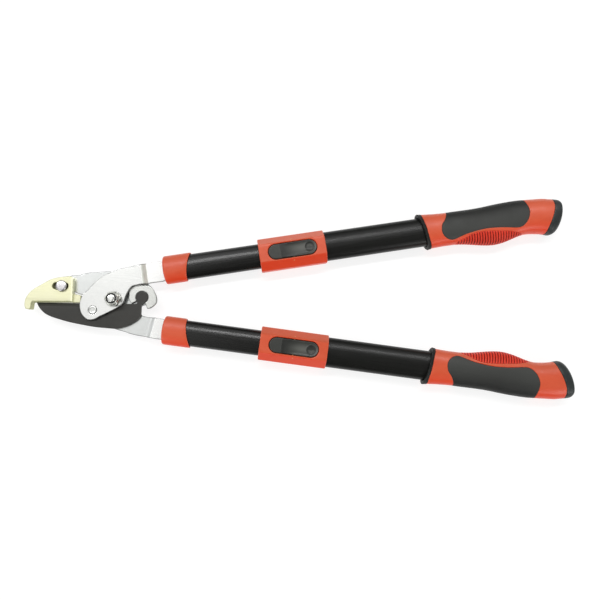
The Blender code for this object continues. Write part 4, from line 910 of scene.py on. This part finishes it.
def unrolled(line):
    """Plan points (s, v) on the front of the grip to the unrolled skin, front half."""
    out = []
    for s, v in np.asarray(line, float):
        ox, oy, ix, iy = (skin[:, k] for k in range(4))
        side = (ox - ix) * (v - iy) - (oy - iy) * (s - ix)
        k = int(np.argmax((side[:-1] <= 0) != (side[1:] <= 0)))
        f = side[k] / (side[k] - side[k + 1] + 1e-12)
        x = station[k] + f * (station[k + 1] - station[k])
        o = np.array([np.interp(x, station, skin[:, j]) for j in (0, 1)])
        i = np.array([np.interp(x, station, skin[:, j]) for j in (2, 3)])
        c = np.clip(2 * np.dot(np.array((s, v)) - i, o - i) / np.dot(o - i, o - i) - 1, -1, 1)
        out.append((x, ROUND * math.acos(math.copysign(abs(c) ** (GRIP_POWER / 2), c))))
    return np.array(out)


PAD_EDGE = (
    (626.2, 23.0), (626.0, 20.4), (624.6, 17.0), (622.6, 13.0), (620.0, 9.0), (616.9, 5.6),
    (614.7, 1.6), (613.7, -4.4), (614.6, -8.6), (616.4, -11.8), (620.4, -15.4), (625.3, -17.2),
    (630.5, -17.0), (637.0, -15.1), (646.0, -12.8), (660.0, -10.8), (673.0, -10.0), (687.0, -10.9),
    (700.0, -12.6), (709.5, -14.1), (715.7, -14.6), (722.4, -12.4), (727.8, -6.9), (731.3, 0.1),
    (732.3, 5.9), (731.8, 12.0), (731.0, 17.6), (731.2, 23.0),
)
RIB_EDGE = (
    (631.6, -24.0), (633.2, -21.0), (637.4, -19.5), (642.5, -17.9), (648.8, -15.2), (655.4, -13.7),
    (662.0, -13.0), (675.0, -13.6), (688.0, -15.4), (702.0, -17.5), (712.0, -19.9), (719.0, -21.9),
    (721.5, -24.0),
)
CAP_LINE = (
    (769.6, 20.0), (769.2, 18.0), (768.5, 13.5), (767.4, 7.5), (765.7, 2.6), (763.0, -3.6),
    (759.2, -10.7), (755.4, -17.5), (753.2, -22.4), (752.2, -25.6), (751.6, -28.5),
)
RING_FRONT = ((587.3, 24.8), (587.8, 19.0), (589.3, 12.0), (590.4, 5.0), (591.4, -2.0), (592.8, -11.0),
              (594.6, -20.0), (596.0, -24.8))
RING_BACK = ((600.4, -24.8), (598.6, -20.0), (596.4, -10.8), (595.2, -0.5), (593.8, 9.0), (592.8, 16.0),
             (593.2, 24.8))

pad_line = spaced(unrolled(smooth_line(PAD_EDGE, 6)), 0.8, False)
pad_line = pad_line[pad_line[:, 1] > 0.15]
pad_loop = np.vstack(((pad_line[0][0], 0.0), pad_line, (pad_line[-1][0], 0.0), (pad_line * (1, -1))[::-1]))
rib_line = spaced(unrolled(smooth_line(RIB_EDGE, 6)), 0.8, False)
full = ROUND * math.pi
rib_line = rib_line[rib_line[:, 1] < full - 0.15]
rib_loop = np.vstack(((rib_line[0][0], full), rib_line, (rib_line[-1][0], full), (rib_line * (1, -1) + (0, 2 * full))[::-1]))
rib_upper = np.vstack(((rib_line[0][0], full), rib_line, (rib_line[-1][0], full)))
cap_dense = unrolled(smooth_line(CAP_LINE, 6))
cap_dense = cap_dense[np.argsort(cap_dense[:, 1])]
angles = np.linspace(0, full, 76)
cap_x = np.interp(angles, cap_dense[:, 1], cap_dense[:, 0])
cap_line = np.column_stack((cap_x, angles))
around = np.vstack(((cap_line * (1, -1))[:0:-1], cap_line))  # from -full to full
lip_dense = unrolled(smooth_line([(s, v) for s, v in RING_BACK if abs(v) < 22.0], 6))
lip_dense = lip_dense[np.argsort(lip_dense[:, 1])]
lip_x = np.interp(angles, lip_dense[:, 1], lip_dense[:, 0]) + 0.15
lip_line = np.column_stack((lip_x, angles))
lip_around = np.vstack(((lip_line * (1, -1))[:0:-1], lip_line))


def shell(name, look, body, nodes, slot, side, loops, top, deep, grid, rings, extra=(), smooth=38.0, seam=False, marks=None):
    """A closed piece over part of the grip's skin: top(points, d) is its height, and deep the height of its back."""
    q, tri, d, ids = patch(loops, grid, rings, extra)
    base, n = on_skin(q), skin_normal(q)
    up = base + n * top(q, d)[:, None]
    down = base + n * (deep(q, d) if callable(deep) else deep * np.ones(len(q)))[:, None]
    k = len(q)
    verts = np.vstack((up, down))
    faces = [tuple(t) for t in tri] + [tuple(t[::-1] + k) for t in tri]
    for loop in ids:
        for a, b in zip(loop, np.roll(loop, -1)):
            if seam and abs(abs(q[a, 1]) - full) < 1e-3 and abs(abs(q[b, 1]) - full) < 1e-3:
                continue
            faces.append((a, a + k, b + k, b))
    drawing = along(side, verts)
    attrs = {"rim": np.concatenate((d, d))}
    for key, value in (marks or {}).items():
        attrs[key] = np.tile(value(q, d), 2)
    return make(name, world(drawing), faces, look, body, nodes, slot, smooth, attrs=attrs)


def grip(prefix, side):
    body = prefix + "_slider"

    # black pad, with painted shading: darker on the handle's outer side, lighter towards its inner side
    shell(prefix + "_grip_pad", RUBBER, body, [prefix + "_grip_pad"], "black_rubber", side, [pad_loop],
          lambda q, d: 0.12 - rounded(d, 1.1) * 0.9 + 0.15 * soft(d / 9.0), -1.7, 2.0, (0.15, 0.35, 0.7, 1.2, 2.0, 3.2),
          marks={"shade": lambda q, d: soft((np.abs(q[:, 1]) / ROUND - 0.55) / 1.25)})

    # ribbed belly, with painted shade in its grooves and along its border
    def groove(q):
        """0 on a rib, 1 in the bottom of a groove."""
        x = along(side, on_skin(q))[:, 0] + 0.006 * (np.abs(q[:, 1]) - full) ** 2
        g = np.abs((x / 3.45) % 1.0 - 0.5) * 3.45
        return 1 - soft(g / 0.95)

    def ribs(q, d):
        height = soft((d - 0.35) / 1.6)
        return 0.12 - 1.15 * groove(q) * height - rounded(d, 0.9) * 0.9 - 0.25 * (1 - height)

    gx, gy = np.meshgrid(np.arange(rib_loop[:, 0].min(), rib_loop[:, 0].max(), 0.32), np.arange(rib_loop[:, 1].min(), rib_loop[:, 1].max(), 1.1))
    shell(prefix + "_grip_belly", BELLY, body, [prefix + "_grip_belly"], "red_rubber", side, [rib_loop], ribs, -1.9, 50.0,
          (0.25, 0.6), [np.stack((gx.ravel(), gy.ravel()), 1)], 60.0, marks={"groove": lambda q, d: groove(q) * soft(d / 0.8) + 0.8 * (d < 0.2)})

    # red body: sunk under the pad and the belly, with a rounded lip round each
    run = np.arange(lip_x[-1] + 1.5, cap_x[-1] - 1.0, 1.5)[::-1]
    border = np.vstack((around, np.column_stack((run, np.full(len(run), full))), lip_around[::-1],
                        np.column_stack((run[::-1], np.full(len(run), -full)))))

    def body_top(q, d):
        pad = distance(q, [pad_loop]) * np.where(inside(q, pad_loop), -1, 1)
        low = q * (1, 1)
        low[:, 1] = np.abs(low[:, 1])
        rib = distance(low, [(rib_upper, False)]) * np.where(inside(low, rib_upper), -1, 1)
        height = np.zeros(len(q))
        for e, r in ((pad, 0.7), (rib, 0.6)):
            lip = np.where(e >= 0, -rounded(e, r), -r - (1.9 - r) * soft(-e / 0.6))
            height = np.minimum(height, lip)
        rear = np.interp(np.abs(q[:, 1]), angles, cap_x) - q[:, 0]
        height -= rounded(rear, 0.8)
        height -= rounded(q[:, 0] - np.interp(np.abs(q[:, 1]), angles, lip_x), 0.5)
        return height

    near = []
    for e in (0.0, 0.15, 0.35, 0.7, 1.3, -0.25, -0.6, -1.2):
        near.append(shifted(pad_loop, -e))
        near.append(shifted(pad_loop, e))
        up = shifted(rib_upper[1:-1], e)
        near += [up, up * (1, -1), shifted(rib_upper[1:-1], -e), shifted(rib_upper[1:-1], -e) * (1, -1)]
        near.append(around - (abs(e) + 0.2, 0))
        near.append(lip_around + (abs(e) + 0.2, 0))
    shell(prefix + "_grip", RED, body, [prefix + "_grip"], "red_plastic", side, [border], body_top, -3.0, 2.3, (), near, seam=True)

    # end cap
    count, layers = 120, 34
    t = np.linspace(-full, full, count, endpoint=False)
    start = np.interp(np.abs(t), angles, cap_x) + 0.12
    last = station[-1]
    rings = []
    q0 = np.column_stack((start, t))
    rings.append(on_skin(q0) - skin_normal(q0) * 2.6)
    for share in np.concatenate(((0.0, 0.01, 0.025, 0.05), np.linspace(0.09, 1.0, layers))):
        x = start + (last - start) * share
        q = np.column_stack((x, t))
        drop = rounded(x - start, 0.8)
        rings.append(on_skin(q) - skin_normal(q) * np.minimum(drop, 0.8)[:, None])
    parts = loft(Parts(), [along(side, r) for r in rings])
    depth = np.concatenate([np.full(count, 0.0)] + [np.full(count, float(s) * 8) for s in np.concatenate(((0.0, 0.01, 0.025, 0.05), np.linspace(0.09, 1.0, layers)))])
    make(prefix + "_end_cap", world(parts.verts()), parts.f, CAP, body, [prefix + "_end_cap"], "cap_plastic", attrs={"rim": depth}, merge=True)

    # black ring in front
    count = 120
    t = 2 * math.pi * np.arange(count) / count
    front = smooth_line(RING_FRONT, 6)
    back = smooth_line(RING_BACK, 6)[::-1]
    c = np.sign(np.cos(t)) * np.abs(np.cos(t)) ** (2 / 2.3)
    d = np.sign(np.sin(t)) * np.abs(np.sin(t)) ** (2 / 2.3)
    rings, rim = [], []
    profile = ((0.10, -4.3), (0.02, -2.6), (0.0, -1.5), (0.015, -0.7), (0.06, -0.2), (0.13, 0.0), (0.22, -0.05), (0.34, -0.28), (0.6, -0.45),
               (0.9, -0.6), (0.97, -0.8), (1.0, -1.3), (1.0, -2.6), (0.9, -4.0))
    for share, drop in profile:
        a, b = 23.9 + drop, 15.7 + drop
        v = a * c
        sf = np.interp(-v, -front[:, 1], front[:, 0])
        sb = np.interp(-v, -back[:, 1], back[:, 0])
        rings.append(np.column_stack((sf + (sb - sf) * share, v, b * d)))
        rim.append(np.full(count, 3.0 * abs(share - 0.1)))
    parts = loft(Parts(), [along(side, r) for r in rings], True)
    make(prefix + "_grip_ring", world(parts.verts()), parts.f, RING, body, [prefix + "_grip_ring"], "black_rubber", attrs={"rim": np.concatenate(rim)})


# ---------------------------------------------------------------- collar's section
def filleted(corners, radii, count=7):
    """A closed section whose corners are rounded."""
    p = np.asarray(corners, float)
    out = []
    for i in range(len(p)):
        a, b, c = p[i - 1], p[i], p[(i + 1) % len(p)]
        u, w = (a - b) / np.linalg.norm(a - b), (c - b) / np.linalg.norm(c - b)
        half_angle = 0.5 * math.acos(np.clip(u @ w, -1, 1))
        r = radii[i]
        reach = r / math.tan(half_angle)
        centre = b + (u + w) / np.linalg.norm(u + w) * r / math.sin(half_angle)
        p0, p1 = b + u * reach - centre, b + w * reach - centre
        t0, t1 = math.atan2(p0[1], p0[0]), math.atan2(p1[1], p1[0])
        turn = (t1 - t0 + math.pi) % (2 * math.pi) - math.pi
        for k in range(count + 1):
            t = t0 + turn * k / count
            out.append(centre + r * np.array((math.cos(t), math.sin(t))))
    return np.array(out)


COLLAR = filleted(((21.0, 5.2), (11.4, 16.5), (-11.4, 16.5), (-21.0, 5.2), (-21.0, -5.2), (-11.6, -15.5), (11.6, -15.5), (21.0, -5.2)),
                  (3.2, 1.6, 1.6, 3.2, 3.2, 2.6, 2.6, 3.2))
COLLAR = np.roll(COLLAR, -int(np.argmin(COLLAR[:, 1] + 0.001 * np.abs(COLLAR[:, 0]))), axis=0)


def handle(prefix, side):
    fixed = "drive" if side > 0 else "frame"
    slider, lever = prefix + "_slider", prefix + "_lever"

    def put(name, parts, look, body, slot, **more):
        lay = parts.verts() * MM
        return make(name, world(along(side, parts.verts())), parts.f, look, body, [name], slot, attrs={"rim": parts.rims()}, **more)

    def with_lay(obj, verts):
        attr = obj.data.attributes.new("lay", "FLOAT_VECTOR", "POINT")
        t = math.radians(BISECTOR + side * HALF_ANGLE)
        flat = np.empty(len(obj.data.vertices) * 3, np.float32)
        obj.data.vertices.foreach_get("co", flat)
        co = flat.reshape(-1, 3)
        turned = np.column_stack((co[:, 0] * math.cos(t) + co[:, 1] * math.sin(t), -co[:, 0] * math.sin(t) + co[:, 1] * math.cos(t), co[:, 2]))
        attr.data.foreach_set("vector", turned.ravel().astype(np.float32))
        return obj

    def solid(rings, closed=False):
        part = loft(Parts(), rings, closed)
        return world(along(side, part.verts())), part.f

    def prism(outline, low, high):
        outline = np.asarray(outline, float)
        return solid([np.column_stack((outline, np.full(len(outline), float(z)))) for z in (low, high)])

    # inner tube and its holes
    lo, hi = INNER_S
    parts = loft(Parts(), [oval(lo, INNER_A - 0.3, INNER_B - 0.3), oval(lo + 0.3, INNER_A, INNER_B)]
                 + [oval(s, INNER_A, INNER_B) for s in np.linspace(lo + 20, hi - 20, 12)]
                 + [oval(hi - 0.3, INNER_A, INNER_B), oval(hi, INNER_A - 0.3, INNER_B - 0.3),
                    oval(hi, INNER_A - INNER_T, INNER_B - INNER_T), oval(lo, INNER_A - INNER_T, INNER_B - INNER_T)], True)
    tube = put(prefix + "_inner_tube", parts, TUBE, fixed, "black_tube")
    for k in range(7):
        cut(tube, "hole", *prism(circle((PEG_S + 40.0 * k, 0.0), PEG_R + 0.8, 36), 4.0, 14.0))
    with_lay(tube, None)

    # ferrule
    count = 96
    t = 2 * math.pi * np.arange(count) / count
    c = np.sign(np.cos(t)) * np.abs(np.cos(t)) ** (2 / 2.25)
    d = np.sign(np.sin(t)) * np.abs(np.sin(t)) ** (2 / 2.25)
    rings, rim = [], []
    profile = ((0.06, -9.0, 0), (0.06, -4.0, 0), (0.05, -2.6, 0), (0.02, -2.2, 0), (0.0, -1.5, 0), (0.008, -0.7, 0), (0.03, -0.2, 0), (0.075, 0.0, 0), (0.3, 0.0, 0), (0.6, 0.0, 0),
               (0.88, 0.0, 0), (0.955, -0.08, 0), (0.985, -0.3, 0), (1.0, -0.7, 0), (1.0, -1.25, 0), (0.97, -1.62, 0), (0.5, -1.62, 0))
    for share, drop, _ in profile:
        a, b = 17.95 + drop, 12.2 + drop
        v = a * c
        first = 257.3 + 1.3 * (v / 18.0) ** 2
        last = 287.2 + 0.2444 * v + 0.00648 * v * v
        rings.append(np.column_stack((first + (last - first) * share, v, b * d)))
        rim.append(np.full(count, min(share, 1 - share) * 26.0))
    parts = Parts()
    loft(parts, rings, True, np.concatenate(rim))
    put(prefix + "_ferrule", parts, RED, fixed, "red_plastic")
    parts = loft(Parts(), [oval(262.2, 8.7, 4.0), oval(261.0, 13.4, 7.6), oval(264.0, 14.2, 8.1), oval(303.6, 14.2, 8.1), oval(304.0, 13.6, 7.6)])
    put(prefix + "_tang_plug", parts, RED, fixed, "red_plastic")

    # outer tube
    lo, hi = OUTER_S
    parts = loft(Parts(), [oval(s, OUTER_A, OUTER_B) for s in np.linspace(lo, hi, 16)]
                 + [oval(hi, OUTER_A - OUTER_T, OUTER_B - OUTER_T), oval(lo, OUTER_A - OUTER_T, OUTER_B - OUTER_T)], True)
    tube = put(prefix + "_outer_tube", parts, OUTER_TUBE, slider, "black_tube")
    notch = np.array(((430.0, -10.7), (LOCK_S + 33.0, -10.7), (LOCK_S + 33.0, 10.7), (430.0, 10.7)))
    cut(tube, "notch", *prism(notch, 3.0, 20.0))
    with_lay(tube, None)

    # collar, with its window
    low, high = COLLAR_S
    ring = COLLAR
    lap = np.concatenate(([0.0], np.cumsum(np.linalg.norm(np.diff(np.vstack((ring, ring[:1])), axis=0), axis=1))))
    total = lap[-1]
    closed = np.vstack((ring, ring[:1]))
    seg = np.diff(closed, axis=0)
    out = np.stack((seg[:, 1], -seg[:, 0]), 1) / np.linalg.norm(seg, axis=1, keepdims=True)
    if (out * (closed[:-1] + closed[1:]) / 2).sum() < 0:
        out = -out
    vert_n = out + np.roll(out, 1, axis=0)
    vert_n /= np.linalg.norm(vert_n, axis=1, keepdims=True)
    vert_n = np.vstack((vert_n, vert_n[:1]))

    def on_collar(q, h):
        p = q[:, 1] % total
        v, z = np.interp(p, lap, closed[:, 0]), np.interp(p, lap, closed[:, 1])
        nv, nz = np.interp(p, lap, vert_n[:, 0]), np.interp(p, lap, vert_n[:, 1])
        s = q[:, 0] + 0.0
        bulge = np.interp(v, (-21, -12, 12, 21), (0.0, 0.0, 0.0, 0.0))
        return np.column_stack((s + bulge, v + nv * h, z + nz * h))

    v_sorted = [(lap[i], closed[i]) for i in range(len(closed))]
    top_ids = [i for i in range(len(closed)) if abs(closed[i, 1] - 16.5) < 1e-3]
    i0 = top_ids[0]
    sign = 1.0 if closed[top_ids[-1], 0] > closed[top_ids[0], 0] else -1.0
    centre_lap = lap[i0] - sign * closed[i0, 0] if sign > 0 else lap[i0] + closed[i0, 0]
    window = capsule((LOCK_S - WINDOW_HALF + WINDOW_W, 0.0), (LOCK_S + WINDOW_HALF - WINDOW_W, 0.0), WINDOW_W, 26)
    window = spaced(window, 0.9)[::-1] + (0.0, centre_lap)
    across = np.unique(np.round(np.concatenate((lap, np.arange(0, total, 1.6))), 4))
    across = across[np.concatenate(([True], np.diff(across) > 0.25))]
    across[-1] = total
    lengthwise = np.arange(low + 2.0, high - 1.0, 2.0)
    border = np.vstack((np.column_stack((np.full(len(across), low), across))[::-1][:0:-1][::-1][::-1],))
    border = np.vstack((np.column_stack((np.concatenate(([low], lengthwise)), np.zeros(len(lengthwise) + 1))),
                        np.column_stack((np.full(len(across), high), across)),
                        np.column_stack((lengthwise[::-1], np.full(len(lengthwise), total))),
                        np.column_stack((np.full(len(across), low), across))[::-1][:-1]))
    rows = [np.column_stack((np.full(len(across), low + e), across)) for e in (0.2, 0.45, 0.8, 1.3, 2.0)]
    rows += [np.column_stack((np.full(len(across), high - e), across)) for e in (0.2, 0.45, 0.8, 1.3, 2.0)]
    for s in np.arange(low + 4.0, high - 3.0, 3.0):
        rows.append(np.column_stack((np.full(len(across), s), across)))
    rows += [shifted(window, e) for e in (0.2, 0.5, 0.9, 1.4, 2.0)]
    q, tri, dist, ids = patch([border, window], 60.0, (), rows)
    dw = distance(q, [window])
    dend = np.minimum(q[:, 0] - low, high - q[:, 0])
    h = -rounded(dend, 1.3) - rounded(dw, 1.5)
    up = on_collar(q, h)
    deep = on_collar(q, np.full(len(q), -2.6))
    near = dw < 1e-6
    deep[near, 2] = 12.4
    inner = on_collar(q, np.full(len(q), -4.2))
    n = len(q)
    faces = [tuple(f) for f in tri]
    verts = [up]
    base = n
    loop = ids[1]
    wall = up[loop].copy()
    wall[:, 2] = 11.2
    verts.append(wall)
    m = len(loop)
    for i in range(m):
        j = (i + 1) % m
        faces.append((loop[i], base + i, base + j, loop[j]))
    floor_hole = wall.copy()
    base += m
    # end faces down to the tubes
    for s_end, a, b in ((low, INNER_A + 0.5, INNER_B + 0.5), (high, OUTER_A + 0.3, OUTER_B + 0.3)):
        rim_ids = [i for i in range(n) if abs(q[i, 0] - s_end) < 1e-6]
        rim_ids.sort(key=lambda i: q[i, 1])
        edge = up[rim_ids]
        angle = np.arctan2(edge[:, 2] / b, edge[:, 1] / a)
        cc, ss = np.cos(angle), np.sin(angle)
        bore = np.column_stack((edge[:, 0], a * np.sign(cc) * np.abs(cc) ** (2 / 2.25), b * np.sign(ss) * np.abs(ss) ** (2 / 2.25)))
        inward = bore.copy()
        inward[:, 0] += 14.0 if s_end == low else -8.0
        verts += [bore, inward]
        k = len(rim_ids)
        for i in range(k - 1):
            faces.append((rim_ids[i], rim_ids[i + 1], base + i + 1, base + i))
            faces.append((base + i, base + i + 1, base + k + i + 1, base + k + i))
        base += 2 * k
    allv = np.vstack(verts)
    edge_d = np.minimum(dist, np.minimum(dw, dend))
    rim = np.concatenate((edge_d, np.full(len(allv) - n, 2.0)))
    collar = make(prefix + "_collar", world(along(side, allv)), faces, RED, slider, [prefix + "_collar"], "red_plastic", attrs={"rim": rim}, smooth=30.0)

    # catch
    outline = capsule((LOCK_S - LEVER_HALF + LEVER_W, 0.0), (LOCK_S + LEVER_HALF - LEVER_W, 0.0), LEVER_W, 30)
    thumb = np.array((LOCK_S + 21.6, 0.6))

    def lever_top(p, d):
        x = p[:, 0] - LOCK_S
        flat = 1 - soft((x + 16.4) / 1.4)
        scoop = -0.95 * soft((x + 15.5) / 26.0) * (1 - 0.25 * (p[:, 1] / LEVER_W) ** 2)
        r = np.linalg.norm(p - thumb, axis=1)
        dimple = np.where(r < 5.3, -0.95 * np.sqrt(np.clip(1 - (r / 5.5) ** 2, 0, 1)), 0.0) + 0.22 * np.exp(-((r - 5.9) / 0.45) ** 2)
        return (flat * -0.28 + (1 - flat) * scoop * soft((d - 0.4) / 2.6) + dimple * soft(d / 1.2))

    parts = Parts()
    marks = [thumb + r * np.column_stack((np.cos(np.linspace(0, 6.2, 44)), np.sin(np.linspace(0, 6.2, 44)))) for r in (1.0, 2.2, 3.2, 4.0, 4.6, 5.0, 5.25, 5.4, 5.7, 6.0, 6.4, 7.0)]
    marks += [np.column_stack((np.full(22, LOCK_S + x), np.linspace(-9, 9, 22))) for x in (-17.2, -16.4, -16.0, -15.5, -15.0, -14.4)]
    slab(parts, [outline], 14.65, 17.05, 0.85, 1.5, (0.1, 0.25, 0.5, 0.85, 1.4), top=lever_top, extra=marks, even=True)
    rings = []
    for v in (-8.6, -8.5, 8.5, 8.6):
        r = 2.5 if abs(v) < 8.55 else 2.3
        tt = 2 * math.pi * np.arange(28) / 28
        rings.append(np.column_stack((LOCK_S + r * np.cos(tt), np.full(28, v), LOCK_Z + r * np.sin(tt))))
    loft(parts, rings)
    made = put(prefix + "_lock_lever", parts, LEVER, lever, "lever_plastic", merge=False)
    local = parts.verts()
    x, r = local[:, 0] - LOCK_S, np.linalg.norm(local[:, :2] - thumb, axis=1)
    # painted light and shade on the catch: the flat end mid-dark, a dark notch after it, a lighter band down the middle
    # growing towards the thumb end, and a darker dimple with a painted highlight in it towards the outer side
    across = 1 - 0.72 * soft(np.abs(local[:, 1] - 0.8) / 7.6)
    shade = np.where(x < -15.6, 0.20, 0.80 * soft((x + 13.5) / 25.0) * across)
    shade = shade * np.where(r < 6.4, 0.12 + 0.5 * soft((r - 5.4) / 1.0), 1.0) + 0.45 * np.exp(-((r - 2.2) / 1.6) ** 2) * (r < 4.6) * (local[:, 1] > 0.6)
    made.data.attributes.new("shade", "FLOAT", "POINT").data.foreach_set("value", shade.astype(np.float32))
    peg = lathe(Parts(), (PEG_S, 0.0), ((1.6, 8.1), (2.2, 8.3), (2.55, 8.8), (2.6, 9.4), (2.6, 14.2), (2.0, 14.25), (2.0, 15.6)), 36)
    put(prefix + "_lock_peg", peg, BRIGHT, lever, "steel")

    # the catch's coil spring
    share = np.linspace(0.0, 1.0, 61)
    turn = 4 * math.pi * share
    path = np.column_stack((LOCK_S + 11.2 + 2.4 * np.cos(turn), 2.4 * np.sin(turn), 12.38 + 1.64 * share))
    ahead = np.gradient(path, axis=0)
    ahead /= np.linalg.norm(ahead, axis=1, keepdims=True)
    upward = np.cross(ahead, np.column_stack((np.cos(turn), np.sin(turn), 0 * turn)))
    upward /= np.linalg.norm(upward, axis=1, keepdims=True)
    outward = np.cross(upward, ahead)
    rings = [p + 0.27 * (o * np.cos(bend)[:, None] + u * np.sin(bend)[:, None])
             for p, o, u, bend in ((path[k], outward[k], upward[k], 2 * math.pi * np.arange(10) / 10) for k in range(61))]
    coil = put(prefix + "_lock_spring", loft(Parts(), rings), BRIGHT, slider, "steel")
    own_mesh(coil)
    rings = []
    for v, r in ((-13.75, 0.4), (-13.65, 0.75), (-13.5, 0.95), (13.5, 0.95), (13.65, 0.75), (13.75, 0.4)):
        tt = 2 * math.pi * np.arange(24) / 24
        rings.append(np.column_stack((LOCK_S + r * np.cos(tt), np.full(24, v), LOCK_Z + r * np.sin(tt))))
    put(prefix + "_lock_pivot_pin", loft(Parts(), rings), PIN, slider, "steel")
    screw = lathe(Parts(), (LOCK_S + 36.5, 0.0), ((1.2, -15.15), (1.4, -15.45), (2.6, -15.4), (3.1, -15.1), (3.2, -14.4), (1.6, -14.3), (1.6, -10.9)), 36)
    put(prefix + "_collar_screw", screw, BRIGHT, slider, "steel")
    grip(prefix, side)


handle("upper", 1)
handle("lower", -1)

for name, obj in frame["nodes"].items():
    look = {"steel": BRIGHT, "inner_plastic": NYLON}.get(next((s["material_slot"] for s in frame["record"]["subparts"] if s["node"] == name), ""))
    if look:
        for slot in obj.material_slots:
            slot.material = look

# ---------------------------------------------------------------- floor, light, camera
floor_look = Look("pale_floor", roughness=0.6, specular=0.2)
floor_look.colour(floor_look.ramp(floor_look.noise(3.0, 3.0, 0.5), ((0.3, (0.27, 0.27, 0.268)), (0.7, (0.29, 0.29, 0.288)))))
floor_look.b.inputs["Emission Color"].default_value = (1.0, 1.0, 1.0, 1.0)
floor_look.b.inputs["Emission Strength"].default_value = 0.78
floor_look.bump((floor_look.noise(400.0, 2.0, 0.5), 0.02, 0.0002))
mesh = bpy.data.meshes.new("floor")
mesh.from_pydata([(-40, -40, 0), (40, -40, 0), (40, 40, 0), (-40, 40, 0)], [], [(0, 1, 2, 3)])
mesh.materials.append(floor_look.m)
floor = bpy.data.objects.new("floor", mesh)
bpy.context.scene.collection.objects.link(floor)

studio = bpy.data.worlds.new("studio")
bpy.context.scene.world = studio
studio.use_nodes = True
wn, wl = studio.node_tree.nodes, studio.node_tree.links
coord = wn.new("ShaderNodeTexCoord")
split = wn.new("ShaderNodeSeparateXYZ")
ramp = wn.new("ShaderNodeValToRGB")
stops = ((0.0, (0.36, 0.365, 0.36, 1)), (0.55, (0.48, 0.485, 0.48, 1)), (0.84, (0.66, 0.66, 0.655, 1)), (0.95, (0.90, 0.90, 0.89, 1)))
while len(ramp.color_ramp.elements) < len(stops):
    ramp.color_ramp.elements.new(0.5)
for k, (at, colour) in enumerate(stops):
    ramp.color_ramp.elements[k].position = at
    ramp.color_ramp.elements[k].color = colour
wl.new(coord.outputs["Generated"], split.inputs[0])
wl.new(split.outputs["Z"], ramp.inputs["Fac"])
wl.new(ramp.outputs["Color"], wn["Background"].inputs["Color"])
side_light = wn.new("ShaderNodeMapRange")
for key, value in (("From Min", -0.70), ("From Max", 0.30), ("To Min", 1.10), ("To Max", 1.38)):
    side_light.inputs[key].default_value = value
wl.new(split.outputs["Y"], side_light.inputs["Value"])
sides = wn.new("ShaderNodeMapRange")
for key, value in (("From Min", -1.0), ("From Max", 1.0), ("To Min", 0.0), ("To Max", 1.0)):
    sides.inputs[key].default_value = value
wl.new(split.outputs["X"], sides.inputs["Value"])
left_light = wn.new("ShaderNodeValToRGB")
bands = ((-1.0, 0.70), (-0.42, 0.74), (-0.36, 0.76), (-0.30, 0.88), (-0.20, 1.05), (-0.145, 0.20), (0.30, 0.20), (0.48, 0.66), (1.0, 0.66))
while len(left_light.color_ramp.elements) < len(bands):
    left_light.color_ramp.elements.new(0.5)
for k, (at, value) in enumerate(bands):
    left_light.color_ramp.elements[k].position = 0.5 + 0.5 * at
    left_light.color_ramp.elements[k].color = (value, value, value, 1.0)
wl.new(sides.outputs["Result"], left_light.inputs["Fac"])
both = wn.new("ShaderNodeMath")
both.operation = "MULTIPLY"
wl.new(side_light.outputs["Result"], both.inputs[0])
wl.new(left_light.outputs["Color"], both.inputs[1])
wl.new(both.outputs[0], wn["Background"].inputs["Strength"])


def lamp(name, at, aim, size, power, colour=(1.0, 1.0, 1.0)):
    data = bpy.data.lights.new(name, "AREA")
    data.shape = "RECTANGLE"
    data.size, data.size_y = size
    data.energy = power
    data.color = colour
    obj = bpy.data.objects.new(name, data)
    obj.location = at
    obj.rotation_euler = (Vector(aim) - Vector(at)).to_track_quat("-Z", "Y").to_euler()
    bpy.context.scene.collection.objects.link(obj)
    return obj


lamp("strip", (-0.15, 1.02, 2.05), (0.0, 0.0, 0.0), (3.4, 0.22), 31.0)
lamp("softbox", (0.0, 1.65, 1.5), (0.0, 0.0, 0.0), (3.0, 1.0), 6.0)
lamp("fill_left", (-1.9, -1.9, 1.3), (0.0, 0.0, 0.0), (1.2, 1.0), 17.0)
lamp("fill_right", (1.9, -1.9, 1.3), (0.0, 0.0, 0.0), (1.2, 1.0), 17.0)

TILT, PAN, FAR = math.radians(6.31), math.radians(-2.76), 700.0
look_from = Vector((FAR * math.sin(PAN), -FAR * math.sin(TILT) * math.cos(PAN), FAR * math.cos(TILT) * math.cos(PAN)))
z = look_from.normalized()
x = Vector((0, 1, 0)).cross(z).normalized()
y = z.cross(x)
camera = bpy.data.objects.new("camera", bpy.data.cameras.new("camera"))
rotation = Matrix((x, y, z)).transposed().to_4x4()
target = Vector(world([(0.0, 0.0, 0.0)])[0])
camera.matrix_world = Matrix.Translation(target + look_from * MM) @ rotation
camera.data.sensor_width = 36.0
camera.data.lens = 33.07
camera.data.clip_start = 0.01
bpy.context.scene.collection.objects.link(camera)
bpy.context.scene.camera = camera
bpy.context.scene.view_settings.view_transform = "Standard"
